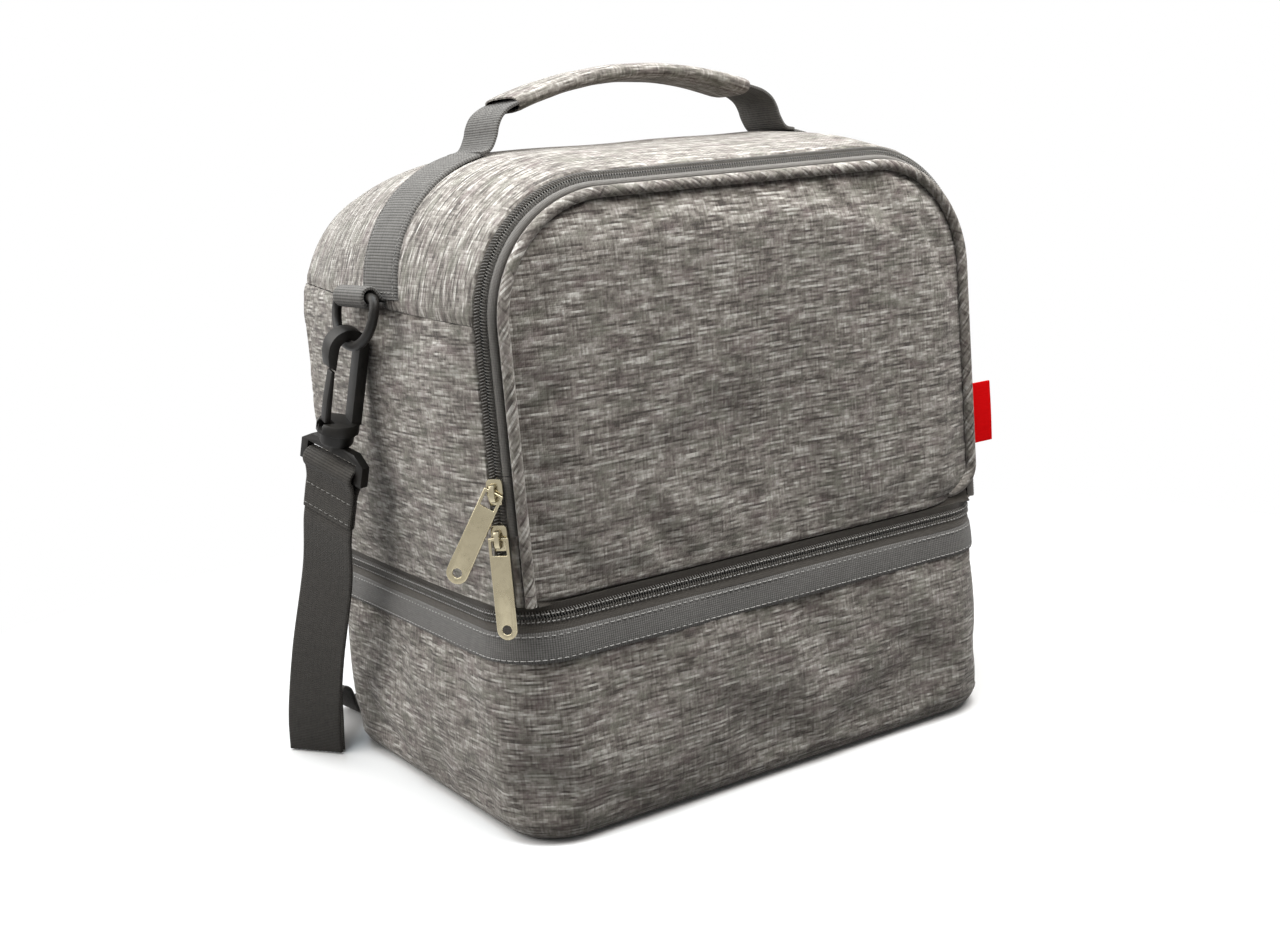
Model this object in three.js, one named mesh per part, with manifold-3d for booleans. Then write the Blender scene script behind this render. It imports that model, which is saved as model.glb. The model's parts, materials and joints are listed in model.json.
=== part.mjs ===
// Insulated bento bag: a zipped base compartment, an upper compartment that tilts back on it,
// a front flap under an arched zip, a carrying handle and a clip-on shoulder strap.
// Millimetres, +X right, +Y back, +Z up, origin on the floor under the middle of the base.
import * as THREE from "three";
import { mergeVertices } from "three/addons/utils/BufferGeometryUtils.js";
import Module from "manifold-3d";

const wasm = await Module();
wasm.setup();

// Bag body
const WIDTH = 250;
const DEPTH = 190;
const HEIGHT = 264; // top of the gusset at its front and back edges
const CROWN = 10; // rise of the gusset's top between those edges
const SIDE_BULGE = 6;
const BASE_BULGE = 2;
const ARCH_RADIUS = 56; // upper corners, seen from the front
const EDGE = 11; // bevel that carries the arched zip, and roundness of the back edge
const BASE_CORNER = 26; // upright corners of the base
const BASE_FILLET = 10; // roundness of the base's bottom edge
const SEAM_HEIGHT = 217; // seam between side panels and top gusset

// Layers
const FABRIC = 1.2;
const FOAM = 3;
const LINING = 0.6;
const BOARD = 2;
const GAP = 0.3; // clearance between pieces that touch

// Zips
const ZIP_HEIGHT = 95; // middle of the base zip
const TAPE = 0.7;
const TAPE_REACH = 5; // from the middle of a chain to the outer edge of its tape
const FLAP_TAPE_REACH = 6;
const COIL = 1.8; // height of the coil over its tape
const COIL_WIDTH = 2;
const SLIT = 1.2; // room for a slider's post between the two coils
const BAND_HEIGHT = 13;
const BAND = 1;
const DIVIDER = 6; // padded floor between the compartments
const PIPING_RADIUS = 2.3;

// Sliders and pulls
const SLIDER_LENGTH = 10;
const SLIDER_WIDTH = 6.4;
const SLIDER_PLATE = 1.4;
const POST = 0.6;
const BRIDGE_WIDTH = 2;
const BRIDGE_SPAN = 7;
const BRIDGE_ROOM = 2.8;
const PULL = 1.2;
const PULL_WIDTH = 8.2;
const PULL_LENGTH = 40;
const PULL_HOLE = 1.9; // radius of the hole at a pull's end
const FIRST_SLIDER_RISE = 52; // over the base zip
const SECOND_SLIDER_RISE = 34;
const FIRST_PULL_TILT = 30; // degrees to the side of straight down
const BASE_SLIDER_DEPTH = 52;

// Webbing, handle and strap hardware
const WEBBING_WIDTH = 30;
const WEBBING = 1.6;
const HANDLE_FORWARD = 8; // from the middle to the line of handle and strap rings
const HANDLE_HALF = 72; // from the middle to a leg's foot
const LEG_LEAN = 15;
const LEG_RISE = 18;
const GRIP_ARCH = 9;
const GRIP_THICK = 7.5;
const RING_ROD = 4.5;
const RING_DROP = 20.5;
const HOOK_CLEARANCE = 2; // between a hook's spine and the side it hangs along
const LOOP_WALL = 1.6;
const HOOK_THICK = 7;
const HOOK_WALL = 4.5;
const HOOK_THROAT = 9;
const HOOK_LENGTH = 37; // from the top of the throat to the collar
const COLLAR_LENGTH = 10;
const PIN_RADIUS = 2.6;
const FRAME_BAR = 4;
const FRAME_DROP = 13;
const STRAP_TAIL = 20;
const HOOK_LEAN = [-0.1, 0.3, -0.95]; // the way the left hook hangs
const STRAP_FACING = [0.32, -0.95, 0]; // across the left strap's width
const STRAP_BACK = 33; // from the bag's back to the middle of the strap behind it
const STRAP_LIFT = 3.6; // middle of the webbing where the adjuster carries it
const TAB_SIZE = 28;
const TAB_OUT = 11;
const TAB_RISE = 31; // of the tab's foot above the base zip

// Derived places
const HALF = WIDTH / 2;
const HANDLE_DEPTH = -HANDLE_FORWARD;
const TAB_FOOT = ZIP_HEIGHT + TAB_RISE;
const FIRST_SLIDER_HEIGHT = ZIP_HEIGHT + FIRST_SLIDER_RISE;
const SECOND_SLIDER_HEIGHT = ZIP_HEIGHT + SECOND_SLIDER_RISE;
const FRONT = -DEPTH / 2;
const BACK = DEPTH / 2;
const ARCH_X = HALF - ARCH_RADIUS;
const ARCH_Z = HEIGHT - ARCH_RADIUS;
const REACH = DEPTH / 2 - EDGE; // half depth of the gusset between its rounded edges
const SEAM_ANGLE = Math.asin((SEAM_HEIGHT - ARCH_Z) / ARCH_RADIUS);
const BASE_TOP = ZIP_HEIGHT - TAPE_REACH - GAP;
const PANEL_FOOT = ZIP_HEIGHT + TAPE_REACH + GAP;
const DIVIDER_FOOT = ZIP_HEIGHT + SLIDER_WIDTH / 2 + GAP;
const DIVIDER_TOP = DIVIDER_FOOT + DIVIDER;
const FLAP_FOOT = DIVIDER_TOP + 2 * GAP;
const DIAGONAL = Math.SQRT1_2;
const CHAIN_ALONG = 4; // from the gusset's edge, down the bevel, to the arched chain's middle
const LAYER = FABRIC + 2 * GAP;
const ARC_STEPS = 8;

// Materials
const paint = (color, roughness, metalness = 0) => ({ color, roughness, metalness });
const MELANGE = paint(0x8d8680, 0.9);
const WEB = paint(0x6f6c69, 0.85);
const STRAP_WEB = paint(0x474441, 0.85);
const TAPE_GREY = paint(0x605d5a, 0.85);
const COIL_GREY = paint(0x4c4a48, 0.55);
const FOAM_WHITE = paint(0xe6e4de, 0.9);
const FOIL = paint(0xc9ccce, 0.35, 0.6);
const BLACK = paint(0x1d1c1b, 0.5);
const BRASS = paint(0x8f8567, 0.4, 0.9);
const RED = paint(0xd3141b, 0.7);
const BOARD_GREY = paint(0x3a3a3a, 0.7);

const bag = new THREE.Group();

function add(name, geometry, look, parent = bag) {
  const mesh = new THREE.Mesh(geometry, new THREE.MeshStandardMaterial(look));
  mesh.name = name;
  parent.add(mesh);
  return mesh;
}

// A closed surface from points and triangles, turned to face outwards.
function closedSurface(points, triangles) {
  const at = points.map((p) => new THREE.Vector3(...p));
  const cross = new THREE.Vector3();
  let volume = 0;
  for (const [a, b, c] of triangles) {
    volume += at[a].dot(cross.crossVectors(at[b], at[c]));
  }
  const facing = volume < 0 ? triangles.map(([a, b, c]) => [a, c, b]) : triangles;
  const geometry = new THREE.BufferGeometry();
  geometry.setAttribute("position", new THREE.Float32BufferAttribute(points.flat(), 3));
  geometry.setIndex(facing.flat());
  geometry.computeVertexNormals();
  return geometry;
}

// Rings of points joined one to the next: capped at both ends, or closed on itself without a cap.
function loft(rings, cap) {
  const n = rings[0].length;
  const joins = cap ? rings.length - 1 : rings.length;
  const triangles = [];
  for (let i = 0; i < joins; i++) {
    const a = i * n;
    const b = ((i + 1) % rings.length) * n;
    for (let k = 0; k < n; k++) {
      const l = (k + 1) % n;
      triangles.push([a + k, a + l, b + l], [a + k, b + l, b + k]);
    }
  }
  if (cap) {
    const end = (rings.length - 1) * n;
    for (const [a, b, c] of cap) {
      triangles.push([a, c, b], [end + a, end + b, end + c]);
    }
  }
  return closedSurface(rings.flat(), triangles);
}

// Triangles that fill a flat contour, wound the way the contour runs.
function capOf(contour) {
  const flat = contour.map(([a, b]) => new THREE.Vector2(a, b));
  const turn = Math.sign(THREE.ShapeUtils.area(flat));
  return THREE.ShapeUtils.triangulateShape(flat, []).map(([a, b, c]) => {
    const area = THREE.ShapeUtils.area([flat[a], flat[b], flat[c]]);
    return area * turn < 0 ? [a, c, b] : [a, b, c];
  });
}

// A sheet with thickness between two grids of points.
function sheet(outer, inner) {
  const m = outer[0].length;
  const rings = outer.map((row, i) => [...row, ...[...inner[i]].reverse()]);
  const cap = [];
  for (let k = 0; k < m - 1; k++) {
    cap.push([k, k + 1, 2 * m - 2 - k], [k, 2 * m - 2 - k, 2 * m - 1 - k]);
  }
  return loft(rings, cap);
}

function manifoldOf(geometry) {
  const bare = geometry.index ? geometry.clone() : geometry;
  bare.deleteAttribute("normal");
  bare.deleteAttribute("uv");
  const merged = mergeVertices(bare, 1e-4);
  return new wasm.Manifold(
    new wasm.Mesh({
      numProp: 3,
      vertProperties: merged.attributes.position.array,
      triVerts: new Uint32Array(merged.index.array),
    }),
  );
}

function geometryOf(solid) {
  const mesh = solid.getMesh();
  const geometry = new THREE.BufferGeometry();
  geometry.setAttribute("position", new THREE.BufferAttribute(mesh.vertProperties, 3));
  geometry.setIndex(new THREE.BufferAttribute(mesh.triVerts, 1));
  geometry.computeVertexNormals();
  return geometry;
}

const join = (...parts) => geometryOf(parts.map(manifoldOf).reduce((a, b) => a.add(b)));
const cut = (body, ...tools) =>
  geometryOf(tools.map(manifoldOf).reduce((a, b) => a.subtract(b), manifoldOf(body)));

const box = (x, y, z, at = [0, 0, 0]) => new THREE.BoxGeometry(x, y, z).translate(...at);

function extrude(shape, depth, curveSegments = ARC_STEPS) {
  return new THREE.ExtrudeGeometry(shape, { depth, bevelEnabled: false, curveSegments });
}

const spread = (from, to, steps) =>
  Array.from({ length: steps + 1 }, (_, i) => from + ((to - from) * i) / steps);

// Stations of the gusset's arch: a centre and an outward direction in the front view.
const upright = (side, z) => ({ x: side * ARCH_X, z, nx: side, nz: 0 });
const corner = (side, angle) => ({
  x: side * ARCH_X,
  z: ARCH_Z,
  nx: side * Math.cos(angle),
  nz: Math.sin(angle),
});
const onArch = (station, out, y) => [
  station.x + station.nx * (ARCH_RADIUS + out),
  y,
  station.z + station.nz * (ARCH_RADIUS + out),
];
const corners = (side, from, to, steps = ARC_STEPS) =>
  spread(from, to, steps).map((angle) => corner(side, angle));

// One side of the arch, from a height on the upright, past some heights, up to the top.
const cornerAngles = [
  ...spread(0, SEAM_ANGLE, 2),
  ...spread(SEAM_ANGLE, Math.PI / 2, ARC_STEPS).slice(1),
];
const halfArch = (side, foot, heights) => [
  ...[foot, ...heights].map((z) => upright(side, z)),
  ...cornerAngles.map((angle) => corner(side, angle)),
];
// The whole arch, from a height on the left side to a height on the right side.
const wholeArch = (left, right, heights = []) => [
  ...halfArch(-1, left, heights),
  ...halfArch(1, right, heights).reverse(),
];

// How far the soft gusset stands out of the arch at a depth: it swells between its edges and
// rounds off to the back.
function gussetOut(station, y) {
  if (y > REACH) {
    const turn = (y - REACH) / EDGE;
    return -EDGE * (1 - Math.sqrt(1 - turn * turn));
  }
  const full = SIDE_BULGE + (CROWN - SIDE_BULGE) * station.nz;
  const rise = Math.min(1, 0.25 + (station.z - PANEL_FOOT) / (ARCH_Z - PANEL_FOOT));
  return full * rise * (1 - (y / REACH) ** 2);
}

// A layer of the gusset, by its depth under the outer face, over some stations and depths.
function gussetLayer(stations, depths, under, thickness) {
  const grid = (extra) =>
    stations.map((s) => depths.map((y) => onArch(s, gussetOut(s, y) - under - extra, y)));
  return sheet(grid(0), grid(thickness));
}

// A strip swept along the arch; its section is given as [out, y] points.
function archSweep(section, stations) {
  const rings = stations.map((s) => section.map(([out, y]) => onArch(s, out, y)));
  return loft(rings, capOf(section));
}

// The bevel between gusset and front: [along, above] becomes [out, y].
const onBevel = ([along, above]) => [
  (above - along) * DIAGONAL,
  -REACH - (along + above) * DIAGONAL,
];

// A rounded rectangle in plan, set out from the base's outline.
function planContour(out) {
  const r = BASE_CORNER + out;
  const x = HALF - BASE_CORNER;
  const y = BACK - BASE_CORNER;
  const quarter = (cx, cy, start) =>
    spread(start, start + Math.PI / 2, ARC_STEPS).map((t) => [
      cx + r * Math.cos(t),
      cy + r * Math.sin(t),
    ]);
  return [
    ...quarter(x, y, 0),
    ...quarter(-x, y, Math.PI / 2),
    ...quarter(-x, -y, Math.PI),
    ...quarter(x, -y, 1.5 * Math.PI),
  ];
}

// A flat plate with the base's outline.
function planPlate(out, foot, thickness) {
  const contour = planContour(out);
  const ring = (z) => contour.map(([x, y]) => [x, y, z]);
  return loft([ring(foot), ring(foot + thickness)], capOf(contour));
}

// A tray of even wall with a rounded bottom edge and walls that swell.
function tray({ out, floor, top, wall, fillet }) {
  const ring = (o, z) => planContour(o).map(([x, y]) => [x, y, z]);
  const swell = (z) => BASE_BULGE * Math.sin((Math.PI * Math.min(z, BASE_TOP)) / BASE_TOP);
  const turn = spread(0, Math.PI / 2, 3);
  const middle = (floor + fillet + top) / 2;
  const outside = [
    ...turn.map((t) => {
      const z = floor + fillet * (1 - Math.cos(t));
      return ring(out + swell(z) * Math.sin(t) - fillet * (1 - Math.sin(t)), z);
    }),
    ring(out + swell(middle), middle),
    ring(out + swell(top), top),
  ];
  const round = fillet - wall;
  const inside = [
    ring(out - wall + swell(top), top),
    ring(out - wall + swell(middle), middle),
    ...[...turn].reverse().map((t) => {
      const z = floor + wall + round * (1 - Math.cos(t));
      return ring(out - wall + swell(z) * Math.sin(t) - round * (1 - Math.sin(t)), z);
    }),
  ];
  return loft([...outside, ...inside], capOf(planContour(-fillet)));
}

// Base compartment
const FOAM_FLOOR = FABRIC + BOARD + 2 * GAP;
const LINING_FLOOR = FOAM_FLOOR + FOAM + GAP;
const LINING_UNDER = LAYER + FOAM + 2 * GAP;
add("base_shell", tray({ out: 0, floor: 0, top: BASE_TOP, wall: FABRIC, fillet: BASE_FILLET }), MELANGE);
add(
  "base_foam",
  tray({ out: -LAYER, floor: FOAM_FLOOR, top: BASE_TOP, wall: FOAM, fillet: BASE_FILLET - LAYER }),
  FOAM_WHITE,
);
add(
  "base_lining",
  tray({
    out: -LINING_UNDER,
    floor: LINING_FLOOR,
    top: BASE_TOP,
    wall: LINING,
    fillet: BASE_FILLET - LINING_UNDER,
  }),
  FOIL,
);
add("base_board", planPlate(-BASE_FILLET - 2 * GAP, FABRIC + GAP, BOARD), BOARD_GREY);

// Grosgrain band bound round the base's upper edge
function bandGeometry() {
  const foot = BASE_TOP - BAND_HEIGHT;
  const lowOut = BASE_BULGE * Math.sin((Math.PI * foot) / BASE_TOP) + GAP;
  const section = [
    [lowOut, foot],
    [lowOut + BAND, foot],
    [GAP + BAND, BASE_TOP],
    [GAP, BASE_TOP],
  ];
  const rings = planContour(0).map((_, i) =>
    section.map(([out, z]) => [...planContour(out)[i], z]),
  );
  return loft(rings);
}
add("binding_band", bandGeometry(), WEB);

// Base zip, from the back's left end round the front to the back's right end
function zipStations(out) {
  const all = planContour(out);
  const quarter = ARC_STEPS + 1;
  return [...all.slice(quarter), ...all.slice(0, quarter)];
}
function baseZipStrip(section) {
  const count = zipStations(0).length;
  const rings = Array.from({ length: count }, (_, i) =>
    section.map(([out, z]) => [...zipStations(out)[i], z]),
  );
  return loft(rings, capOf(section));
}
const bar = (low, high, near, far) => [
  [low, near],
  [high, near],
  [high, far],
  [low, far],
];
for (const [half, way] of [
  ["lower", -1],
  ["upper", 1],
]) {
  const inner = ZIP_HEIGHT + (way * SLIT) / 2;
  const tape = bar(-TAPE - GAP, -GAP, inner, ZIP_HEIGHT + way * TAPE_REACH);
  const coil = bar(0, COIL, inner, inner + way * COIL_WIDTH);
  add(`base_zip_tape_${half}`, baseZipStrip(tape), TAPE_GREY);
  add(`base_zip_coil_${half}`, baseZipStrip(coil), COIL_GREY);
}

// Fabric hinge at the back, between base and upper compartment
const HINGE_HALF = HALF - BASE_CORNER - GAP;
const HINGE_TOP = PANEL_FOOT - GAP;
add(
  "back_hinge",
  box(2 * HINGE_HALF, FABRIC, HINGE_TOP - BASE_TOP - GAP, [
    0,
    BACK - FABRIC / 2,
    (BASE_TOP + GAP + HINGE_TOP) / 2,
  ]),
  MELANGE,
);

// Upper compartment: gusset, sides and back
const BACK_TURN = 0.85; // how far round its back edge the gusset runs
const gussetDepths = [
  ...spread(-REACH, REACH, 6),
  ...spread(REACH, REACH + BACK_TURN * EDGE, 2).slice(1),
];
const sideHeights = spread(PANEL_FOOT, ARCH_Z, 4).slice(1, -1);
const sideStations = (side) => [
  ...[PANEL_FOOT, ...sideHeights].map((z) => upright(side, z)),
  ...corners(side, 0, SEAM_ANGLE - GAP / ARCH_RADIUS, 2),
];
const topStations = [
  ...corners(-1, SEAM_ANGLE, Math.PI / 2),
  ...corners(1, Math.PI / 2, SEAM_ANGLE),
];
add("gusset_top", gussetLayer(topStations, gussetDepths, 0, FABRIC), MELANGE);
add("side_panel_left", gussetLayer(sideStations(-1), gussetDepths, 0, FABRIC), MELANGE);
add("side_panel_right", gussetLayer(sideStations(1), gussetDepths, 0, FABRIC), MELANGE);

// An arched plate, set in from the gusset's outline, standing on a foot height.
function archPlate(inset, foot, front, thickness) {
  const shape = new THREE.Shape();
  const half = HALF - inset;
  const r = ARCH_RADIUS - inset;
  shape.moveTo(-half, foot);
  shape.lineTo(half, foot);
  shape.lineTo(half, ARCH_Z);
  shape.absarc(half - r, ARCH_Z, r, 0, Math.PI / 2, false);
  shape.lineTo(r - half, HEIGHT - inset);
  shape.absarc(r - half, ARCH_Z, r, Math.PI / 2, Math.PI, false);
  shape.closePath();
  return extrude(shape, thickness).rotateX(Math.PI / 2).translate(0, front + thickness, 0);
}
const BACK_INSET = -gussetOut(upright(1, ARCH_Z), REACH + BACK_TURN * EDGE) + FABRIC / 2;
const INNER_FOOT = DIVIDER_TOP + GAP;
const LAYERS_INSET = EDGE - GAP;
add("back_panel", archPlate(BACK_INSET, PANEL_FOOT, BACK - FABRIC, FABRIC), MELANGE);
add("back_foam", archPlate(LAYERS_INSET, INNER_FOOT, BACK - LAYER - FOAM, FOAM), FOAM_WHITE);
add(
  "back_lining",
  archPlate(LAYERS_INSET, INNER_FOOT, BACK - LINING_UNDER - LINING, LINING),
  FOIL,
);

// Insulation and lining under the gusset
const LAYER_FRONT = -REACH + CHAIN_ALONG;
const LAYER_BACK = BACK - LINING_UNDER - LINING - GAP;
const layerDepths = [LAYER_FRONT, ...gussetDepths.slice(1, 7), LAYER_BACK];
const layerStations = wholeArch(INNER_FOOT, INNER_FOOT, sideHeights);
add("gusset_foam", gussetLayer(layerStations, layerDepths, LAYER, FOAM), FOAM_WHITE);
add("gusset_lining", gussetLayer(layerStations, layerDepths, LINING_UNDER, LINING), FOIL);

// Padded divider: floor of the upper compartment and lid of the base
add("divider_floor", planPlate(-LAYER, DIVIDER_FOOT, DIVIDER), FOIL);

// Sill that the flap's lower edge is sewn to
const SILL_HALF = HALF - EDGE - 2 * GAP;
add(
  "front_sill",
  box(2 * SILL_HALF, FABRIC, DIVIDER_TOP - PANEL_FOOT + GAP, [
    0,
    FRONT + FABRIC / 2,
    (PANEL_FOOT + DIVIDER_TOP + GAP) / 2,
  ]),
  MELANGE,
);

// Arched zip on the bevel. Its left end, where the sliders park, stays on the gusset.
const chainEdge = (way, reach) => CHAIN_ALONG + way * reach;
const SLIDER_ZONE = FIRST_SLIDER_HEIGHT + SLIDER_LENGTH / 2 + 2 * GAP;
const ZIP_FOOT = FLAP_FOOT + GAP;
const coilAt = (way) =>
  bar(chainEdge(way, SLIT / 2), chainEdge(way, SLIT / 2 + COIL_WIDTH), 0, COIL);
const tapeAt = (way, reach) =>
  bar(chainEdge(way, SLIT / 2), chainEdge(way, reach), -TAPE - GAP, -GAP);
const GUSSET_TAPE_REACH = CHAIN_ALONG - FABRIC;
const gussetArch = wholeArch(ZIP_FOOT, ZIP_FOOT);
const flapArch = wholeArch(SLIDER_ZONE, ZIP_FOOT);
add("arch_zip_tape", archSweep(tapeAt(-1, GUSSET_TAPE_REACH).map(onBevel), gussetArch), TAPE_GREY);
add("arch_zip_coil", archSweep(coilAt(-1).map(onBevel), gussetArch), COIL_GREY);
add("flap_zip_tape", archSweep(tapeAt(1, FLAP_TAPE_REACH).map(onBevel), flapArch), TAPE_GREY);
add("flap_zip_coil", archSweep(coilAt(1).map(onBevel), flapArch), COIL_GREY);
const TAB_TOP = ZIP_FOOT + TAB_SIZE - 2 * PIPING_RADIUS;
add(
  "zip_end_tape",
  archSweep(tapeAt(1, FLAP_TAPE_REACH).map(onBevel), [
    upright(-1, TAB_TOP + GAP),
    upright(-1, SLIDER_ZONE - GAP),
  ]),
  TAPE_GREY,
);
add(
  "zip_end_tab",
  archSweep(
    bar(chainEdge(1, SLIDER_WIDTH / 2 + GAP), chainEdge(1, FLAP_TAPE_REACH), -TAPE - GAP, FABRIC).map(
      onBevel,
    ),
    [upright(-1, ZIP_FOOT), upright(-1, TAB_TOP)],
  ),
  MELANGE,
);

// Flap: panel, insulation, lining and piping
const PANEL_INSET = EDGE + GAP + FABRIC / 10;
add("front_panel", archPlate(PANEL_INSET, FLAP_FOOT, FRONT, FABRIC), MELANGE);
add("flap_foam", archPlate(PANEL_INSET + FOAM / 2, FLAP_FOOT, FRONT + LAYER, FOAM), FOAM_WHITE);
add(
  "flap_lining",
  archPlate(PANEL_INSET + FOAM / 2, FLAP_FOOT, FRONT + LINING_UNDER, LINING),
  FOIL,
);
const PIPING_OUT = -PANEL_INSET + PIPING_RADIUS + GAP;
const PIPING_DEPTH = FRONT + FABRIC;
const pipingSection = spread(0, 2 * Math.PI, 8)
  .slice(1)
  .map((t) => [PIPING_OUT + PIPING_RADIUS * Math.cos(t), PIPING_DEPTH + PIPING_RADIUS * Math.sin(t)]);
add("flap_piping", archSweep(pipingSection, wholeArch(ZIP_FOOT, ZIP_FOOT)), MELANGE);

// Red tab sewn into the right side's front seam
add(
  "side_tab",
  box(TAB_OUT, FABRIC, TAB_SIZE, [HALF + GAP + TAB_OUT / 2, -REACH + FABRIC, TAB_FOOT + TAB_SIZE / 2]),
  RED,
);

// A slider: two plates joined by a post between the coils, and a bridge for its pull.
// Local frame: x across the chain, y along it, z outwards from the tape.
const PLATE_FOOT = COIL + GAP;
const BRIDGE_FOOT = PLATE_FOOT + SLIDER_PLATE;
const CROSSBAR = BRIDGE_FOOT + BRIDGE_ROOM / 2;
function sliderGeometry() {
  const half = SLIDER_LENGTH / 2;
  const wide = SLIDER_WIDTH / 2;
  const shape = new THREE.Shape();
  shape.moveTo(-wide * 0.7, -half);
  shape.lineTo(wide * 0.7, -half);
  shape.lineTo(wide, -half * 0.1);
  shape.lineTo(wide, half * 0.6);
  shape.quadraticCurveTo(wide, half, wide * 0.5, half);
  shape.lineTo(-wide * 0.5, half);
  shape.quadraticCurveTo(-wide, half, -wide, half * 0.6);
  shape.lineTo(-wide, -half * 0.1);
  const front = extrude(shape, SLIDER_PLATE, 3).translate(0, 0, PLATE_FOOT);
  const rearTop = -TAPE - 2 * GAP;
  const rear = extrude(shape, SLIDER_PLATE, 3).translate(0, 0, rearTop - SLIDER_PLATE);
  const postHeight = PLATE_FOOT - rearTop + SLIDER_PLATE;
  const post = box(POST, SLIDER_LENGTH * 0.6, postHeight, [
    0,
    half * 0.3,
    rearTop - SLIDER_PLATE / 2 + postHeight / 2,
  ]);
  return join(front, rear, post, bridgeGeometry());
}

function bridgeGeometry() {
  const outline = new THREE.Shape();
  const half = BRIDGE_SPAN / 2;
  const top = BRIDGE_ROOM + PULL;
  outline.moveTo(-half, -SLIDER_PLATE / 2);
  outline.lineTo(half, -SLIDER_PLATE / 2);
  outline.lineTo(half, top * 0.6);
  outline.quadraticCurveTo(half, top, 0, top);
  outline.quadraticCurveTo(-half, top, -half, top * 0.6);
  const room = new THREE.Path();
  const clear = half - PULL;
  room.moveTo(-clear, 0);
  room.lineTo(-clear, BRIDGE_ROOM);
  room.lineTo(clear, BRIDGE_ROOM);
  room.lineTo(clear, 0);
  outline.holes.push(room);
  return extrude(outline, BRIDGE_WIDTH, 3)
    .rotateX(Math.PI / 2)
    .rotateZ(Math.PI / 2)
    .translate(-BRIDGE_WIDTH / 2, 0, BRIDGE_FOOT);
}

// A pull hangs from its crossbar, which lies under the slider's bridge.
function pullGeometry(endWidth) {
  const wide = PULL_WIDTH / 2;
  const barHalf = PULL / 2;
  const shape = new THREE.Shape();
  const endY = -PULL_LENGTH + endWidth / 2;
  shape.moveTo(-wide, barHalf);
  shape.lineTo(-wide, -BRIDGE_SPAN - PULL);
  shape.lineTo(-endWidth / 2, endY);
  shape.absarc(0, endY, endWidth / 2, Math.PI, 2 * Math.PI, false);
  shape.lineTo(wide, -BRIDGE_SPAN - PULL);
  shape.lineTo(wide, barHalf);
  const opening = new THREE.Path();
  const clear = wide - PULL;
  opening.moveTo(-clear, -barHalf);
  opening.lineTo(clear, -barHalf);
  opening.lineTo(clear, -BRIDGE_SPAN + barHalf);
  opening.lineTo(-clear, -BRIDGE_SPAN + barHalf);
  const hole = new THREE.Path();
  hole.absarc(0, endY, PULL_HOLE, 0, 2 * Math.PI, true);
  shape.holes.push(opening, hole);
  return extrude(shape, PULL, 6).translate(0, 0, -PULL / 2);
}

function addSlider(name, frame, tilt, endWidth) {
  add(`${name}_slider`, sliderGeometry(), BRASS, frame);
  const pull = add(`${name}_pull`, pullGeometry(endWidth), BRASS, frame);
  pull.position.z = CROSSBAR;
  pull.rotation.z = THREE.MathUtils.degToRad(tilt);
}

function frameAt(position, xAxis, yAxis, zAxis, parent = bag) {
  const frame = new THREE.Group();
  frame.matrixAutoUpdate = false;
  frame.matrix.makeBasis(xAxis, yAxis, zAxis).setPosition(...position);
  parent.add(frame);
  return frame;
}
const vector = (x, y, z) => new THREE.Vector3(x, y, z);
const [chainOut, chainY] = onBevel([CHAIN_ALONG, 0]);
for (const [name, height, tilt, endWidth] of [
  ["first", FIRST_SLIDER_HEIGHT, -FIRST_PULL_TILT, 9],
  ["second", SECOND_SLIDER_HEIGHT, 0, PULL_WIDTH],
]) {
  const frame = frameAt(
    [-HALF - chainOut, chainY, height],
    vector(DIAGONAL, -DIAGONAL, 0),
    vector(0, 0, 1),
    vector(-DIAGONAL, -DIAGONAL, 0),
  );
  addSlider(name, frame, tilt, endWidth);
}
const baseZipFrame = frameAt(
  [HALF, BASE_SLIDER_DEPTH, ZIP_HEIGHT],
  vector(0, 0, 1),
  vector(0, -1, 0),
  vector(1, 0, 0),
);
addSlider("base", baseZipFrame, -FIRST_PULL_TILT, PULL_WIDTH);

// Handle: strips sewn over the gusset, two legs and a sleeved grip
const handleSpan = [HANDLE_DEPTH - WEBBING_WIDTH / 2, HANDLE_DEPTH + WEBBING_WIDTH / 2];
const handleDepths = spread(...handleSpan, 2);
const STRIP_START = Math.asin((SEAM_HEIGHT + 3 * RING_ROD - ARCH_Z) / ARCH_RADIUS);
const STRIP_END = HANDLE_HALF - WEBBING_WIDTH / 2;
const archAngle = (x) => Math.acos(Math.max(0, x - ARCH_X) / ARCH_RADIUS);
function topAt(x, y) {
  const station = corner(1, archAngle(x));
  return onArch(station, gussetOut(station, y), y)[2];
}
function stripGeometry(side) {
  const stations = corners(side, STRIP_START, Math.PI / 2);
  stations.push({ x: side * STRIP_END, z: ARCH_Z, nx: 0, nz: 1 });
  return gussetLayer(stations, handleDepths, -GAP - WEBBING, WEBBING);
}
add("handle_strip_left", stripGeometry(-1), WEB);
add("handle_strip_right", stripGeometry(1), WEB);

const LEG_FOOT = topAt(HANDLE_HALF, HANDLE_DEPTH) + 2 * GAP + 1.5 * WEBBING;
const footPoint = (side) => [side * HANDLE_HALF, LEG_FOOT];
const headPoint = (side) => [side * (HANDLE_HALF - LEG_LEAN), LEG_FOOT + LEG_RISE];
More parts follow.
